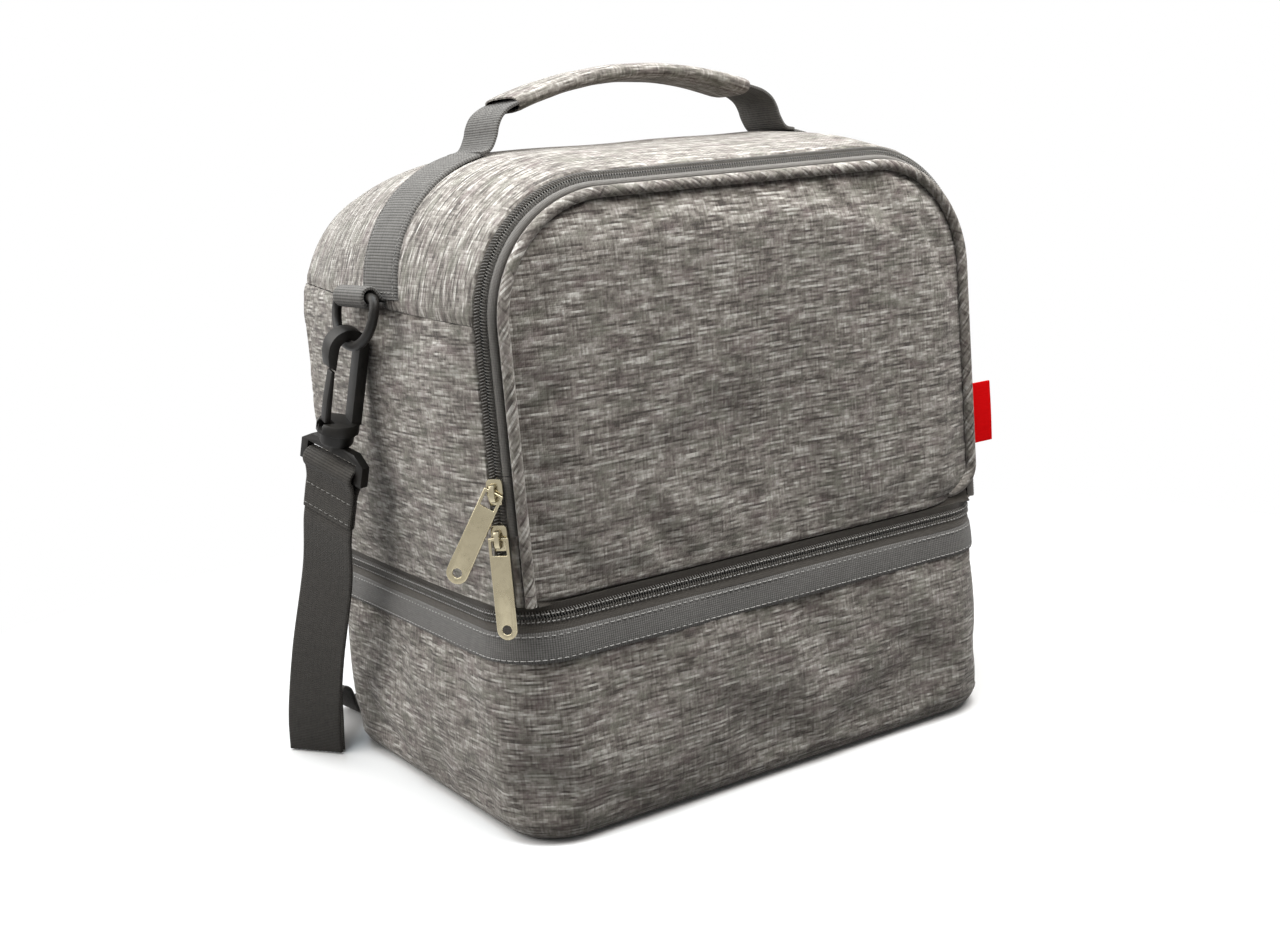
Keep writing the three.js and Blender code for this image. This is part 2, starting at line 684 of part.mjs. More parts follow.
// A ribbon in the front view, rounded at both ends, extruded through the handle's width.
function ribbonSolid(curve, steps, thickness, span) {
  const points = curve.getPoints(steps);
  const r = thickness / 2;
  const angles = points.map((_, i) => {
    const t = curve.getTangent(i / steps);
    return Math.atan2(t.y, t.x);
  });
  const side = (way) =>
    points.map((p, i) => [
      p.x - way * r * Math.sin(angles[i]),
      p.y + way * r * Math.cos(angles[i]),
    ]);
  const round = (p, start) =>
    spread(start, start + Math.PI, 4)
      .slice(1, -1)
      .map((t) => [p.x + r * Math.cos(t), p.y + r * Math.sin(t)]);
  const outline = [
    ...side(-1),
    ...round(points[steps], angles[steps] - Math.PI / 2),
    ...side(1).reverse(),
    ...round(points[0], angles[0] + Math.PI / 2),
  ];
  const shape = new THREE.Shape(outline.map(([x, z]) => new THREE.Vector2(x, z)));
  return extrude(shape, span[1] - span[0])
    .rotateX(Math.PI / 2)
    .translate(0, span[1], 0);
}
function legGeometry(side) {
  const foot = new THREE.Vector2(...footPoint(side));
  const head = new THREE.Vector2(...headPoint(side));
  const knee = new THREE.Vector2(foot.x, foot.y + LEG_RISE * 0.85);
  const curve = new THREE.QuadraticBezierCurve(foot, knee, head);
  return ribbonSolid(curve, 8, WEBBING, handleSpan);
}
add("handle_leg_left", legGeometry(-1), WEB);
add("handle_leg_right", legGeometry(1), WEB);

const GRIP_HALF = HANDLE_HALF - LEG_LEAN - WEBBING / 2 - GAP;
const GRIP_END = LEG_FOOT + LEG_RISE;
function gripSweep(section, half) {
  const rings = spread(-half, half, 12).map((x) => {
    const share = x / GRIP_HALF;
    const z = GRIP_END + GRIP_ARCH * (1 - share * share);
    const slope = (-2 * GRIP_ARCH * share) / GRIP_HALF;
    const unit = Math.hypot(1, slope);
    return section.map(([y, up]) => [x - (up * slope) / unit, HANDLE_DEPTH + y, z + up / unit]);
  });
  return loft(rings, capOf(section));
}
function stadium(width, height, steps) {
  const r = height / 2;
  const arc = (cx, start) =>
    spread(start, start + Math.PI, steps).map((t) => [cx + r * Math.cos(t), r * Math.sin(t)]);
  const x = width / 2 - r;
  return [...arc(x, -Math.PI / 2), ...arc(-x, Math.PI / 2)];
}
const CORE_WIDTH = WEBBING_WIDTH - GRIP_THICK;
const flatBar = (width, height) =>
  bar(-width / 2, width / 2, -height / 2, height / 2);
add(
  "grip_sleeve",
  cut(
    gripSweep(stadium(WEBBING_WIDTH, GRIP_THICK, 6), GRIP_HALF),
    gripSweep(flatBar(CORE_WIDTH + 2 * GAP, 2 * WEBBING + 2 * GAP), GRIP_HALF + GRIP_THICK),
  ),
  MELANGE,
);
add("grip_core", gripSweep(flatBar(CORE_WIDTH, 2 * WEBBING), GRIP_HALF - GAP), WEB);

// Strap ring in its webbing loop at the side seam
const seamStation = corner(1, SEAM_ANGLE - (2 * GAP) / ARCH_RADIUS);
const sideX = onArch(seamStation, gussetOut(seamStation, 0), 0)[0] + GAP;
const LOOP_INNER = RING_ROD / 2 + 2 * GAP;
const LOOP_OUTER = LOOP_INNER + LOOP_WALL;
const RING_X = sideX + GAP + LOOP_OUTER + LOOP_WALL;
const RING_Z = SEAM_HEIGHT + LOOP_OUTER - LOOP_WALL / 2;
const RING_HALF = WEBBING_WIDTH / 2 + RING_ROD;

function loopGeometry() {
  const round = new THREE.Shape();
  round.absarc(0, 0, LOOP_OUTER, 0, 2 * Math.PI, false);
  const bore = new THREE.Shape();
  bore.absarc(0, 0, LOOP_INNER, 0, 2 * Math.PI, false);
  const along = (shape, length, start) =>
    extrude(shape, length, 5).rotateX(Math.PI / 2).translate(0, start + length, 0);
  const tail = box(RING_X - sideX - GAP, WEBBING_WIDTH, LOOP_WALL, [
    (RING_X - sideX - GAP) / 2,
    0,
    -LOOP_OUTER + LOOP_WALL / 2,
  ]);
  const start = -WEBBING_WIDTH / 2;
  const body = join(along(round, WEBBING_WIDTH, start), tail);
  return cut(body, along(bore, WEBBING_WIDTH + 2, start - 1));
}

// A closed tube round a path in the ring's own plane.
function ringGeometry() {
  const turn = RING_ROD;
  const path = [];
  for (const t of spread(Math.PI / 2, 0, 3)) {
    path.push([RING_HALF - turn + turn * Math.cos(t), -turn + turn * Math.sin(t)]);
  }
  const bow = RING_DROP - turn - 1;
  for (const t of spread(0, -Math.PI, 12)) {
    path.push([RING_HALF * Math.cos(t), -turn - 1 + bow * Math.sin(t)]);
  }
  for (const t of spread(Math.PI, Math.PI / 2, 3)) {
    path.push([-RING_HALF + turn + turn * Math.cos(t), -turn + turn * Math.sin(t)]);
  }
  const r = RING_ROD / 2;
  const count = path.length;
  const rings = path.map(([y, z], i) => {
    const [ay, az] = path[(i + count - 1) % count];
    const [by, bz] = path[(i + 1) % count];
    const length = Math.hypot(by - ay, bz - az);
    const ny = -(bz - az) / length;
    const nz = (by - ay) / length;
    return spread(0, 2 * Math.PI, 8)
      .slice(1)
      .map((t) => [
        r * Math.sin(t),
        y + r * Math.cos(t) * ny,
        z + r * Math.cos(t) * nz,
      ]);
  });
  return loft(rings);
}

// Snap hook, in its own frame: z up the hook, x to the gate, origin at the top of the throat
const THROAT = HOOK_THROAT / 2;
const HOOK_OUTER = THROAT + HOOK_WALL;
const BEAK_DROP = HOOK_LENGTH * 0.36;
const GATE_THICK = 2.6;
const GATE_WIDTH = HOOK_THICK - 2;
const COLLAR_TOP = -HOOK_LENGTH;
const COLLAR_FOOT = COLLAR_TOP - COLLAR_LENGTH;
const BORE_RADIUS = PIN_RADIUS + GAP;
const GATE_PIVOT = COLLAR_TOP + GATE_THICK;

function hookGeometry() {
  const shape = new THREE.Shape();
  const beakTip = HOOK_OUTER - HOOK_WALL * 0.2;
  shape.moveTo(-HOOK_OUTER, COLLAR_TOP - 1);
  shape.lineTo(-THROAT, COLLAR_TOP - 1);
  shape.lineTo(-THROAT, -THROAT);
  shape.absarc(0, -THROAT, THROAT, Math.PI, 0, true);
  shape.lineTo(THROAT + HOOK_WALL * 0.1, -BEAK_DROP);
  shape.lineTo(beakTip, -BEAK_DROP + HOOK_WALL * 0.4);
  shape.lineTo(HOOK_OUTER, -THROAT - HOOK_WALL * 0.5);
  shape.absarc(0, -THROAT, HOOK_OUTER, 0, Math.PI, false);
  const blade = extrude(shape, HOOK_THICK, 7)
    .rotateX(Math.PI / 2)
    .translate(0, HOOK_THICK / 2, 0);
  const collar = new THREE.LatheGeometry(
    [
      [0, COLLAR_FOOT],
      [HOOK_OUTER * 0.74, COLLAR_FOOT],
      [HOOK_OUTER * 0.8, COLLAR_TOP - COLLAR_LENGTH * 0.88],
      [HOOK_OUTER * 0.8, COLLAR_TOP - COLLAR_LENGTH * 0.52],
      [HOOK_OUTER, COLLAR_TOP - COLLAR_LENGTH * 0.44],
      [HOOK_OUTER, COLLAR_TOP - COLLAR_LENGTH * 0.1],
      [HOOK_OUTER * 0.92, COLLAR_TOP],
      [0, COLLAR_TOP],
    ].map(([r, z]) => new THREE.Vector2(r, z)),
    16,
  ).rotateX(Math.PI / 2);
  const bore = new THREE.CylinderGeometry(BORE_RADIUS, BORE_RADIUS, COLLAR_LENGTH * 1.6, 16)
    .rotateX(Math.PI / 2)
    .translate(0, 0, COLLAR_FOOT);
  const seat = box(GATE_THICK * 2.4, GATE_WIDTH + 2 * GAP, GATE_THICK * 2.4, [
    THROAT + GATE_THICK / 2,
    0,
    COLLAR_TOP,
  ]);
  return cut(join(blade, collar), bore, seat);
}

function gateGeometry() {
  const shape = new THREE.Shape();
  const top = -BEAK_DROP - 2 * GAP;
  shape.moveTo(THROAT, GATE_PIVOT - GATE_THICK);
  shape.lineTo(THROAT + GATE_THICK, GATE_PIVOT - GATE_THICK);
  shape.lineTo(THROAT + GATE_THICK, GATE_PIVOT + 3 * GATE_THICK);
  shape.lineTo(THROAT + GATE_THICK * 0.7, top);
  shape.lineTo(THROAT + GAP, top);
  return extrude(shape, GATE_WIDTH).rotateX(Math.PI / 2).translate(0, GATE_WIDTH / 2, 0);
}

// Swivel frame: a pin in the collar's bore and a slot for the webbing, z up the pin
const FRAME_TOP = COLLAR_FOOT - GAP;
const FRAME_OUTER = WEBBING_WIDTH + 2 * GAP + 2 * FRAME_BAR;
const BAR_Z = FRAME_TOP - FRAME_DROP + FRAME_BAR / 2;
function frameGeometry() {
  const outer = new THREE.Shape();
  const half = FRAME_OUTER / 2;
  const foot = FRAME_TOP - FRAME_DROP;
  outer.moveTo(-half, foot);
  outer.lineTo(half, foot);
  outer.lineTo(half, FRAME_TOP - FRAME_BAR);
  outer.lineTo(half - FRAME_BAR * 1.5, FRAME_TOP);
  outer.lineTo(-half + FRAME_BAR * 1.5, FRAME_TOP);
  outer.lineTo(-half, FRAME_TOP - FRAME_BAR);
  const slot = new THREE.Path();
  const clear = half - FRAME_BAR;
  slot.moveTo(-clear, foot + FRAME_BAR);
  slot.lineTo(-clear, FRAME_TOP - FRAME_BAR);
  slot.lineTo(clear, FRAME_TOP - FRAME_BAR);
  slot.lineTo(clear, foot + FRAME_BAR);
  outer.holes.push(slot);
  const body = extrude(outer, FRAME_BAR).rotateX(Math.PI / 2).translate(0, FRAME_BAR / 2, 0);
  const pinLength = COLLAR_LENGTH * 0.7;
  const pin = new THREE.CylinderGeometry(PIN_RADIUS, PIN_RADIUS, pinLength + FRAME_BAR, 16)
    .rotateX(Math.PI / 2)
    .translate(0, 0, FRAME_TOP + pinLength / 2 - FRAME_BAR / 2);
  return join(body, pin);
}

// Webbing folded round the frame's lower bar and sewn to itself
const EYE_INNER = FRAME_BAR * DIAGONAL + GAP;
const EYE_OUTER = EYE_INNER + WEBBING;
function strapEndGeometry() {
  const round = new THREE.Shape();
  round.absarc(0, 0, EYE_OUTER, 0, 2 * Math.PI, false);
  const hole = new THREE.Shape();
  hole.absarc(0, 0, EYE_INNER, 0, 2 * Math.PI, false);
  const across = (shape, length) =>
    extrude(shape, length, 5).rotateX(Math.PI / 2).rotateZ(Math.PI / 2).translate(-length / 2, 0, 0);
  const tail = box(WEBBING_WIDTH, 2 * WEBBING, STRAP_TAIL, [0, 0, -EYE_INNER - STRAP_TAIL / 2]);
  return cut(join(across(round, WEBBING_WIDTH), tail), across(hole, WEBBING_WIDTH + 2)).translate(
    0,
    0,
    BAR_Z,
  );
}

// Where the left hook hangs on its ring, and the frame that turns under it
const HOOK_SIDE = 4; // how far back along the ring's bow the hook sits
const hookDown = vector(...HOOK_LEAN).normalize();
const hookUp = hookDown.clone().negate();
const square = (v) => v.clone().addScaledVector(hookUp, -v.dot(hookUp)).normalize();
const hookX = square(vector(-1, 0, 0));
const frameX = square(vector(...STRAP_FACING));
const hookReach = HALF + SIDE_BULGE + HOOK_CLEARANCE + HOOK_OUTER - RING_X;
const ringTilt = Math.asin(Math.min(1, hookReach / RING_DROP));
const hookTop = [
  -RING_X - RING_DROP * Math.sin(ringTilt),
  HANDLE_DEPTH + HOOK_SIDE,
  RING_Z - RING_DROP * Math.cos(ringTilt) + RING_ROD / 2 + 4 * GAP,
];
const strapTop = vector(...hookTop).addScaledVector(
  hookDown,
  -BAR_Z + EYE_INNER + STRAP_TAIL + GAP,
);

function addHardware(side, name) {
  const whole = new THREE.Group();
  whole.scale.x = -side;
  bag.add(whole);
  const ringFrame = new THREE.Group();
  ringFrame.position.set(-RING_X, HANDLE_DEPTH, RING_Z);
  whole.add(ringFrame);
  add(`ring_loop_${name}`, loopGeometry(), WEB, ringFrame);
  add(`strap_ring_${name}`, ringGeometry(), BLACK, ringFrame).rotation.y = ringTilt;
  const axes = (x) => [x, hookUp.clone().cross(x), hookUp];
  const hook = frameAt(hookTop, ...axes(hookX), whole);
  add(`snap_hook_${name}`, hookGeometry(), BLACK, hook);
  add(`hook_gate_${name}`, gateGeometry(), BLACK, hook);
  const swivel = frameAt(hookTop, ...axes(frameX), whole);
  add(`swivel_frame_${name}`, frameGeometry(), BLACK, swivel);
  add(`strap_end_${name}`, strapEndGeometry(), STRAP_WEB, swivel);
  add(`strap_drop_${name}`, dropGeometry(), STRAP_WEB, whole);
}

// Shoulder strap: down the left side, folded at the floor and laid behind the bag
const STRAP_Y = BACK + STRAP_BACK;
const FLOOR_MIDDLE = WEBBING / 2 + GAP;
const foldX = -HALF - 21;
const foldY = BACK - 9;
const dropPath = new THREE.CatmullRomCurve3([
  strapTop,
  strapTop.clone().addScaledVector(hookDown, STRAP_TAIL / 4),
  vector(foldX - 1.5, strapTop.y + 17, ZIP_HEIGHT + 3),
  vector(foldX - 3.5, foldY - 28, 55),
  vector(foldX - 2.5, foldY - 10, 20),
  vector(foldX, foldY, FLOOR_MIDDLE),
]);
const RUN_STRAIGHT = HANDLE_HALF + WEBBING_WIDTH / 2;
const runLeft = [
  vector(foldX + 1.5, foldY + 1.4, FLOOR_MIDDLE + GAP),
  vector(foldX + 5, foldY + 7, 14),
  vector(foldX + 9, foldY + 12, 27),
  vector(foldX + 18, foldY + 20, 24),
  vector(foldX + 32, STRAP_Y - 7, 6),
  vector(-RUN_STRAIGHT - 10, STRAP_Y, STRAP_LIFT),
  vector(-RUN_STRAIGHT, STRAP_Y, STRAP_LIFT),
];
const runRight = runLeft.map((p) => vector(-p.x, p.y, p.z)).reverse();
const runPath = new THREE.CurvePath();
runPath.add(new THREE.CatmullRomCurve3(runLeft));
runPath.add(new THREE.LineCurve3(runLeft.at(-1), runRight[0]));
runPath.add(new THREE.CatmullRomCurve3(runRight));

// A band of webbing along a path; across gives its width's direction at a share of the path.
function webbingAlong(path, steps, across) {
  const grid = (way) =>
    spread(0, 1, steps).map((t) => {
      const middle = path.getPoint(t);
      const tangent = path.getTangent(t);
      const wide = across(t, middle).normalize();
      const up = wide.clone().cross(tangent).setLength((way * WEBBING) / 2);
      return [-1, 1].map((end) =>
        middle
          .clone()
          .addScaledVector(wide, (end * WEBBING_WIDTH) / 2)
          .add(up)
          .toArray(),
      );
    });
  return sheet(grid(1), grid(-1));
}
const foldAcross = vector(0.55, -0.83, 0);
function dropGeometry() {
  return webbingAlong(dropPath, 12, (t) => frameX.clone().lerp(foldAcross, t));
}
add(
  "strap_floor_run",
  webbingAlong(runPath, 44, (t, middle) => {
    const share = Math.min(1, Math.abs(middle.x) / -foldX);
    const turned = THREE.MathUtils.smoothstep(share, 0.72, 1);
    const wide = vector(0, -1, 0).lerp(foldAcross, turned);
    return vector(Math.sign(-middle.x) * wide.x, wide.y, 0);
  }),
  STRAP_WEB,
);
addHardware(-1, "left");
addHardware(1, "right");

// Ladder adjuster: end bars over the webbing, middle bar under it
const LADDER_LENGTH = 26;
const LADDER_BAR = 4;
const ladderTop = STRAP_LIFT + WEBBING / 2 + GAP;
const ladderFoot = STRAP_LIFT - WEBBING / 2 - GAP;
const LADDER_BAR_HEIGHT = ladderFoot - GAP;
const RAIL_Y = WEBBING_WIDTH / 2 + GAP + LADDER_BAR / 2;
const overBar = (x) =>
  box(LADDER_BAR, 2 * RAIL_Y, LADDER_BAR_HEIGHT, [x, STRAP_Y, ladderTop + LADDER_BAR_HEIGHT / 2]);
const rail = (way) =>
  box(LADDER_LENGTH, LADDER_BAR, ladderTop + LADDER_BAR_HEIGHT - GAP, [
    0,
    STRAP_Y + way * RAIL_Y,
    (ladderTop + LADDER_BAR_HEIGHT + GAP) / 2,
  ]);
add(
  "strap_adjuster",
  join(
    rail(-1),
    rail(1),
    overBar(-(LADDER_LENGTH - LADDER_BAR) / 2),
    overBar((LADDER_LENGTH - LADDER_BAR) / 2),
    box(LADDER_BAR, 2 * RAIL_Y, LADDER_BAR_HEIGHT, [0, STRAP_Y, GAP + LADDER_BAR_HEIGHT / 2]),
  ),
  BLACK,
);

export default bag;
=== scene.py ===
# %% [markdown]
# # An insulated bento bag
# The bag is a zipped base compartment with a taller, arched compartment hinged on its back edge.
# All that is soft on its outside is sewn from three cloths: a grey melange, ribbed webbing and zip
# tape. Its lining is a silvered film. This lesson dresses a rigid model of the bag: each soft solid
# is replaced by a sewn piece that follows the same measured surfaces, and each hard solid is given
# its moulded edges and finish.

# %% Load the rigid model
import json
import math

import bmesh
import bpy
import numpy as np
from mathutils import Matrix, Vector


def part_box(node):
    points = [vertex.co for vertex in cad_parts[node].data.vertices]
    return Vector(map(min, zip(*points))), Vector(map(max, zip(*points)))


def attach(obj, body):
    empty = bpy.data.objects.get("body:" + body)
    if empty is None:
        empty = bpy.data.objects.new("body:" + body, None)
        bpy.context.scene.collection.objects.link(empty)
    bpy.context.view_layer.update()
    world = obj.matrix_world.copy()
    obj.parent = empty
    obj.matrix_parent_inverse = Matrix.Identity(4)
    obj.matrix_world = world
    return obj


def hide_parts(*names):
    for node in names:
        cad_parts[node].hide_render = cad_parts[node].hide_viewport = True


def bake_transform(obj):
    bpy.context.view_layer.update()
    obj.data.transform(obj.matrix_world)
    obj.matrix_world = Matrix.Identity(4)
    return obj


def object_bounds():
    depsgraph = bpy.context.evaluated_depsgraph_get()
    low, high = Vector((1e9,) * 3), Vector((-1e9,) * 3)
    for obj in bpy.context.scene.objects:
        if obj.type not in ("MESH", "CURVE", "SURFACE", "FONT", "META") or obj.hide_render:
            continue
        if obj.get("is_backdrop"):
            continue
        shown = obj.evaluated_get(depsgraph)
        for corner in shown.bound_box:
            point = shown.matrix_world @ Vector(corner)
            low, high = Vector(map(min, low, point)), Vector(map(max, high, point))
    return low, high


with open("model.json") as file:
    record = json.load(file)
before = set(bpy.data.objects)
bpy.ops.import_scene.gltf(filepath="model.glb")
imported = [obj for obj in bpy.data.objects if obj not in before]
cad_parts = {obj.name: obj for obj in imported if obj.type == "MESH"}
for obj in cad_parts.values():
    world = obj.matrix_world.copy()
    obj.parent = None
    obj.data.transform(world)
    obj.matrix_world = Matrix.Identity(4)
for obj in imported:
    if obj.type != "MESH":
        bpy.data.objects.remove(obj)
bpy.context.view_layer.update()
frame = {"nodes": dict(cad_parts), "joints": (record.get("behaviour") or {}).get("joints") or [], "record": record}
scene = bpy.context.scene

# %% [markdown]
# ## Measured sizes
# The bag is set out from a few sizes, in metres. The front view of its upper part is an arch:
# two upright sides, two round corners and a flat top. A gusset wraps that arch from front to back
# and swells a little between its edges, because soft walls never stay flat.

# %% Sizes of the bag
MM = 0.001
HALF = 125 * MM  # half the width
BACK = 95 * MM  # half the depth
FRONT = -BACK
HEIGHT = 264 * MM
CROWN = 10 * MM  # how far the top swells
SIDE_BULGE = 6 * MM
BASE_BULGE = 2 * MM
ARCH_RADIUS = 56 * MM
EDGE = 11 * MM  # rounding along the back and bevel along the front
BASE_CORNER = 26 * MM
BASE_FILLET = 10 * MM
SEAM_HEIGHT = 217 * MM
ZIP_HEIGHT = 95 * MM
TAPE_HALF = 5.3 * MM  # half the height of the base zip
CLOTH = 0.5 * MM
GAP = 0.3 * MM  # left between layers

ARCH_X = HALF - ARCH_RADIUS
ARCH_Z = HEIGHT - ARCH_RADIUS
REACH = BACK - EDGE
BASE_TOP = ZIP_HEIGHT - TAPE_HALF
PANEL_FOOT = ZIP_HEIGHT + TAPE_HALF
FLAP_FOOT = 105.1 * MM
CENTRE = np.array((0, 0, 150 * MM))
SIDES = (("left", -1), ("right", 1))
QUARTER = math.pi / 2
CIRCLE = 2 * math.pi
DIAGONAL = math.sqrt(0.5)
CORNER_RUN = ARCH_RADIUS * QUARTER


def mm(*sizes):
    """Sizes in millimetres, as an array in metres."""
    return np.array(sizes) * MM


def points(*parts):
    """Points from coordinates that broadcast: three in space, or two on the flat cloth."""
    return np.stack(np.broadcast_arrays(*parts), -1)


def fade(distance, reach):
    """0 at an edge, and 1 at a reach from it and beyond."""
    return np.clip(distance / reach, 0, 1)


print("arch from", round(PANEL_FOOT, 4), "to", round(HEIGHT + CROWN, 4), "m")

# %% Stations of the arch
FOOT_SWELL = 0.25  # share of a side's swell that is left at its foot


def arch_stations(run):
    """Centre and outward direction of the arch at distances from the middle of its top."""
    run = np.asarray(run, float)
    side = np.where(run < 0, -1.0, 1.0)
    far = np.abs(run)
    turn = np.clip((far - ARCH_X) / ARCH_RADIUS, 0, QUARTER)
    x = side * np.minimum(far, ARCH_X)
    z = ARCH_Z - np.maximum(far - ARCH_X - CORNER_RUN, 0)
    return x, z, side * np.sin(turn), np.cos(turn)


def arch_run(z):
    """Distance along the right side of the arch, from the middle of its top to a height."""
    if z <= ARCH_Z:
        return ARCH_X + CORNER_RUN + ARCH_Z - z
    return ARCH_X + ARCH_RADIUS * (QUARTER - math.asin((z - ARCH_Z) / ARCH_RADIUS))


def on_arch(run, out, y):
    """Points on the arch; run, out and y may be arrays that broadcast."""
    x, z, nx, nz = arch_stations(run)
    return points(x + nx * (ARCH_RADIUS + out), y, z + nz * (ARCH_RADIUS + out))


def gusset_out(run, y):
    """How far the soft gusset stands out of the arch, and how it rounds off to the back."""
    _, z, _, nz = arch_stations(run)
    full = SIDE_BULGE + (CROWN - SIDE_BULGE) * nz
    rise = np.minimum(1, FOOT_SWELL + (z - PANEL_FOOT) / (ARCH_Z - PANEL_FOOT))
    swell = full * rise * (1 - (np.minimum(y, REACH) / REACH) ** 2)
    turn = fade(y - REACH, EDGE)
    return np.where(y > REACH, -EDGE * (1 - np.sqrt(1 - turn * turn)), swell)


def on_bevel(along, above):
    """[out, y] of a point on the bevel in front of the gusset, which carries the arched zip."""
    return (above - along) * DIAGONAL, -REACH - (along + above) * DIAGONAL


SEAM_RUN = arch_run(SEAM_HEIGHT)
FOOT_RUN = arch_run(PANEL_FOOT)
print("half arch, top to foot:", round(FOOT_RUN, 4), "m")

# %% [markdown]
# ## Sewing helpers
# A sewn piece is a grid of points with a little thickness. Each point also keeps its place on the
# flat cloth, in metres, in a UV map named cloth: first along the streaks, then across them. That is
# how a weave can follow a curved panel: it is woven on the flat cloth and bent afterwards.

# %% Grids to sewn pieces
CREASE = math.radians(55)


def new_object(name, data):
    """An object at the origin, in the scene."""
    made = bpy.data.objects.new(name, data)
    scene.collection.objects.link(made)
    return made


def new_piece(name, places, faces, edges=()):
    mesh = bpy.data.meshes.new(name)
    mesh.from_pydata(np.asarray(places).tolist(), list(edges), faces)
    return new_object(name, mesh)


def face_outwards(mesh):
    work = bmesh.new()
    work.from_mesh(mesh)
    bmesh.ops.recalc_face_normals(work, faces=work.faces)
    work.to_mesh(mesh)
    work.free()


def unit(ways):
    ways = np.asarray(ways, float)
    return ways / np.maximum(np.linalg.norm(ways, axis=-1, keepdims=True), 1e-12)


def grid_normals(grid, wrap=False):
    """Unit normals of a grid of points, turned away from the middle of the bag."""
    along = np.roll(grid, -1, 0) - np.roll(grid, 1, 0) if wrap else np.gradient(grid, axis=0)
    normal = unit(np.cross(along, np.gradient(grid, axis=1)))
    return normal * np.sign(((grid - CENTRE) * normal).sum())


def sewn(name, outer, inner, cloth, wrap=False):
    """A closed sheet between two grids. Rows may wrap round; cloth then has one row more."""
    rows, columns = outer.shape[:2]
    faces, places = [], []

    def quad(*corners):
        faces.append([(layer * rows + i % rows) * columns + j for layer, i, j in corners])
        places.extend(cloth[i, j] for _, i, j in corners)

    for i in range(rows if wrap else rows - 1):
        for j in range(columns - 1):
            quad((0, i, j), (0, i + 1, j), (0, i + 1, j + 1), (0, i, j + 1))
            quad((1, i, j), (1, i, j + 1), (1, i + 1, j + 1), (1, i + 1, j))
        for j in (0, columns - 1):
            quad((0, i, j), (1, i, j), (1, i + 1, j), (0, i + 1, j))
    for i in () if wrap else (0, rows - 1):
        for j in range(columns - 1):
            quad((0, i, j), (0, i, j + 1), (1, i, j + 1), (1, i, j))
    piece = new_piece(name, np.concatenate((outer.reshape(-1, 3), inner.reshape(-1, 3))), faces)
    layer = piece.data.uv_layers.new(name="cloth")
    layer.data.foreach_set("uv", np.asarray(places, np.float32).ravel())
    face_outwards(piece.data)
    piece.data.shade_smooth()
    piece.data.set_sharp_from_angle(angle=CREASE)
    return piece


# %% Softness
WAVES = 7
GATHER_REACH = 6 * MM


def undulation(places, wavelength, seed):
    """A smooth random wave of about -1 to 1 over points in space."""
    draw = np.random.default_rng(seed)
    total = np.zeros(places.shape[:-1])
    for _ in range(WAVES):
        way = draw.normal(size=3)
        way *= CIRCLE / (np.linalg.norm(way) * wavelength * draw.uniform(0.7, 1.7))
        total += np.sin(places @ way + draw.uniform(0, CIRCLE))
    return total / math.sqrt(WAVES)


def pucker(distance, along, pitch, seed):
    """Small gathers beside a seam, which die away from it."""
    draw = np.random.default_rng(seed)
    phase = sum(
        draw.uniform(0.6, 1.2) * np.sin(along / (pitch * draw.uniform(1.5, 5)) + draw.uniform(0, 6))
        for _ in range(4)
    )
    return np.exp(-distance / GATHER_REACH) * np.sin(CIRCLE * along / pitch + 2 * phase)


def bell(distance, at, width):
    """1 at a place beside a seam, and nothing a few widths away from it."""
    return np.exp(-(((distance - at) / width) ** 2))


def soften(grid, amount, wrap=False):
    """The grid, with each point moved out by an amount."""
    return grid + grid_normals(grid, wrap) * amount[..., None]


# %% Riding and replacing
finishes = {}


def place(piece, body, finish, *nodes, slot=None):
    """Gives a finished piece its material, its body and the solids that it stands for."""
    piece.data.materials.clear()
    piece.data.materials.append(finishes[finish])
    if body:
        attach(piece, body)
    if nodes:
        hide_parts(*nodes)
    return piece


def sew(name, outer, cloth, body, finish, *nodes, thick=CLOTH, wrap=False):
    """A sewn piece from its outer face alone, put in its place."""
    inner = outer - grid_normals(outer, wrap) * thick
    return place(sewn(name, outer, inner, cloth, wrap), body, finish, *nodes)


print("helpers ready")

# %% [markdown]
# ## Camera
# The camera stands in front, to the left and a little above the bag. Its place, lens and slight
# roll were found by laying the measured edges of the bag over the photograph.

# %% Camera at the photograph's angle
PHOTO_WIDTH = 1280
FOCAL_PIXELS = 1607.5
SHIFT_PIXELS = (6.68, 3.96)
AZIMUTH, ELEVATION = -32.01, 10.95
ROLL = math.radians(-4.83)
DISTANCE = 752.9 * MM
TARGET = np.array((0, 0, 125 * MM))
SENSOR = 36.0
NEAREST = 0.01


def heading(azimuth, elevation):
    """The way from the bag to a stand: azimuth 0 is straight in front, minus is to the left."""
    turn, rise = math.radians(azimuth), math.radians(elevation)
    level = math.cos(rise)
    return np.array((math.sin(turn) * level, -math.cos(turn) * level, math.sin(rise)))


def stand(thing, x, z, at):
    """Puts a thing at a place, with its own x and z along two ways."""
    pose = np.eye(4)
    pose[:3] = np.stack((x, np.cross(z, x), z, at), -1)
    thing.matrix_world = Matrix(pose.tolist())


back = heading(AZIMUTH, ELEVATION)
right = unit(np.cross(-back, (0, 0, 1)))
rolled_right = right * math.cos(ROLL) + np.cross(right, -back) * math.sin(ROLL)
eye = TARGET + back * DISTANCE
lens = bpy.data.cameras.new("camera")
lens.sensor_width = SENSOR
lens.lens = FOCAL_PIXELS / PHOTO_WIDTH * SENSOR
lens.shift_x, lens.shift_y = (-shift / PHOTO_WIDTH for shift in SHIFT_PIXELS)
lens.clip_start = NEAREST
scene.camera = new_object("camera", lens)
stand(scene.camera, rolled_right, back, eye)
print("camera at", [round(float(c), 3) for c in eye], "lens", round(lens.lens, 2), "mm")

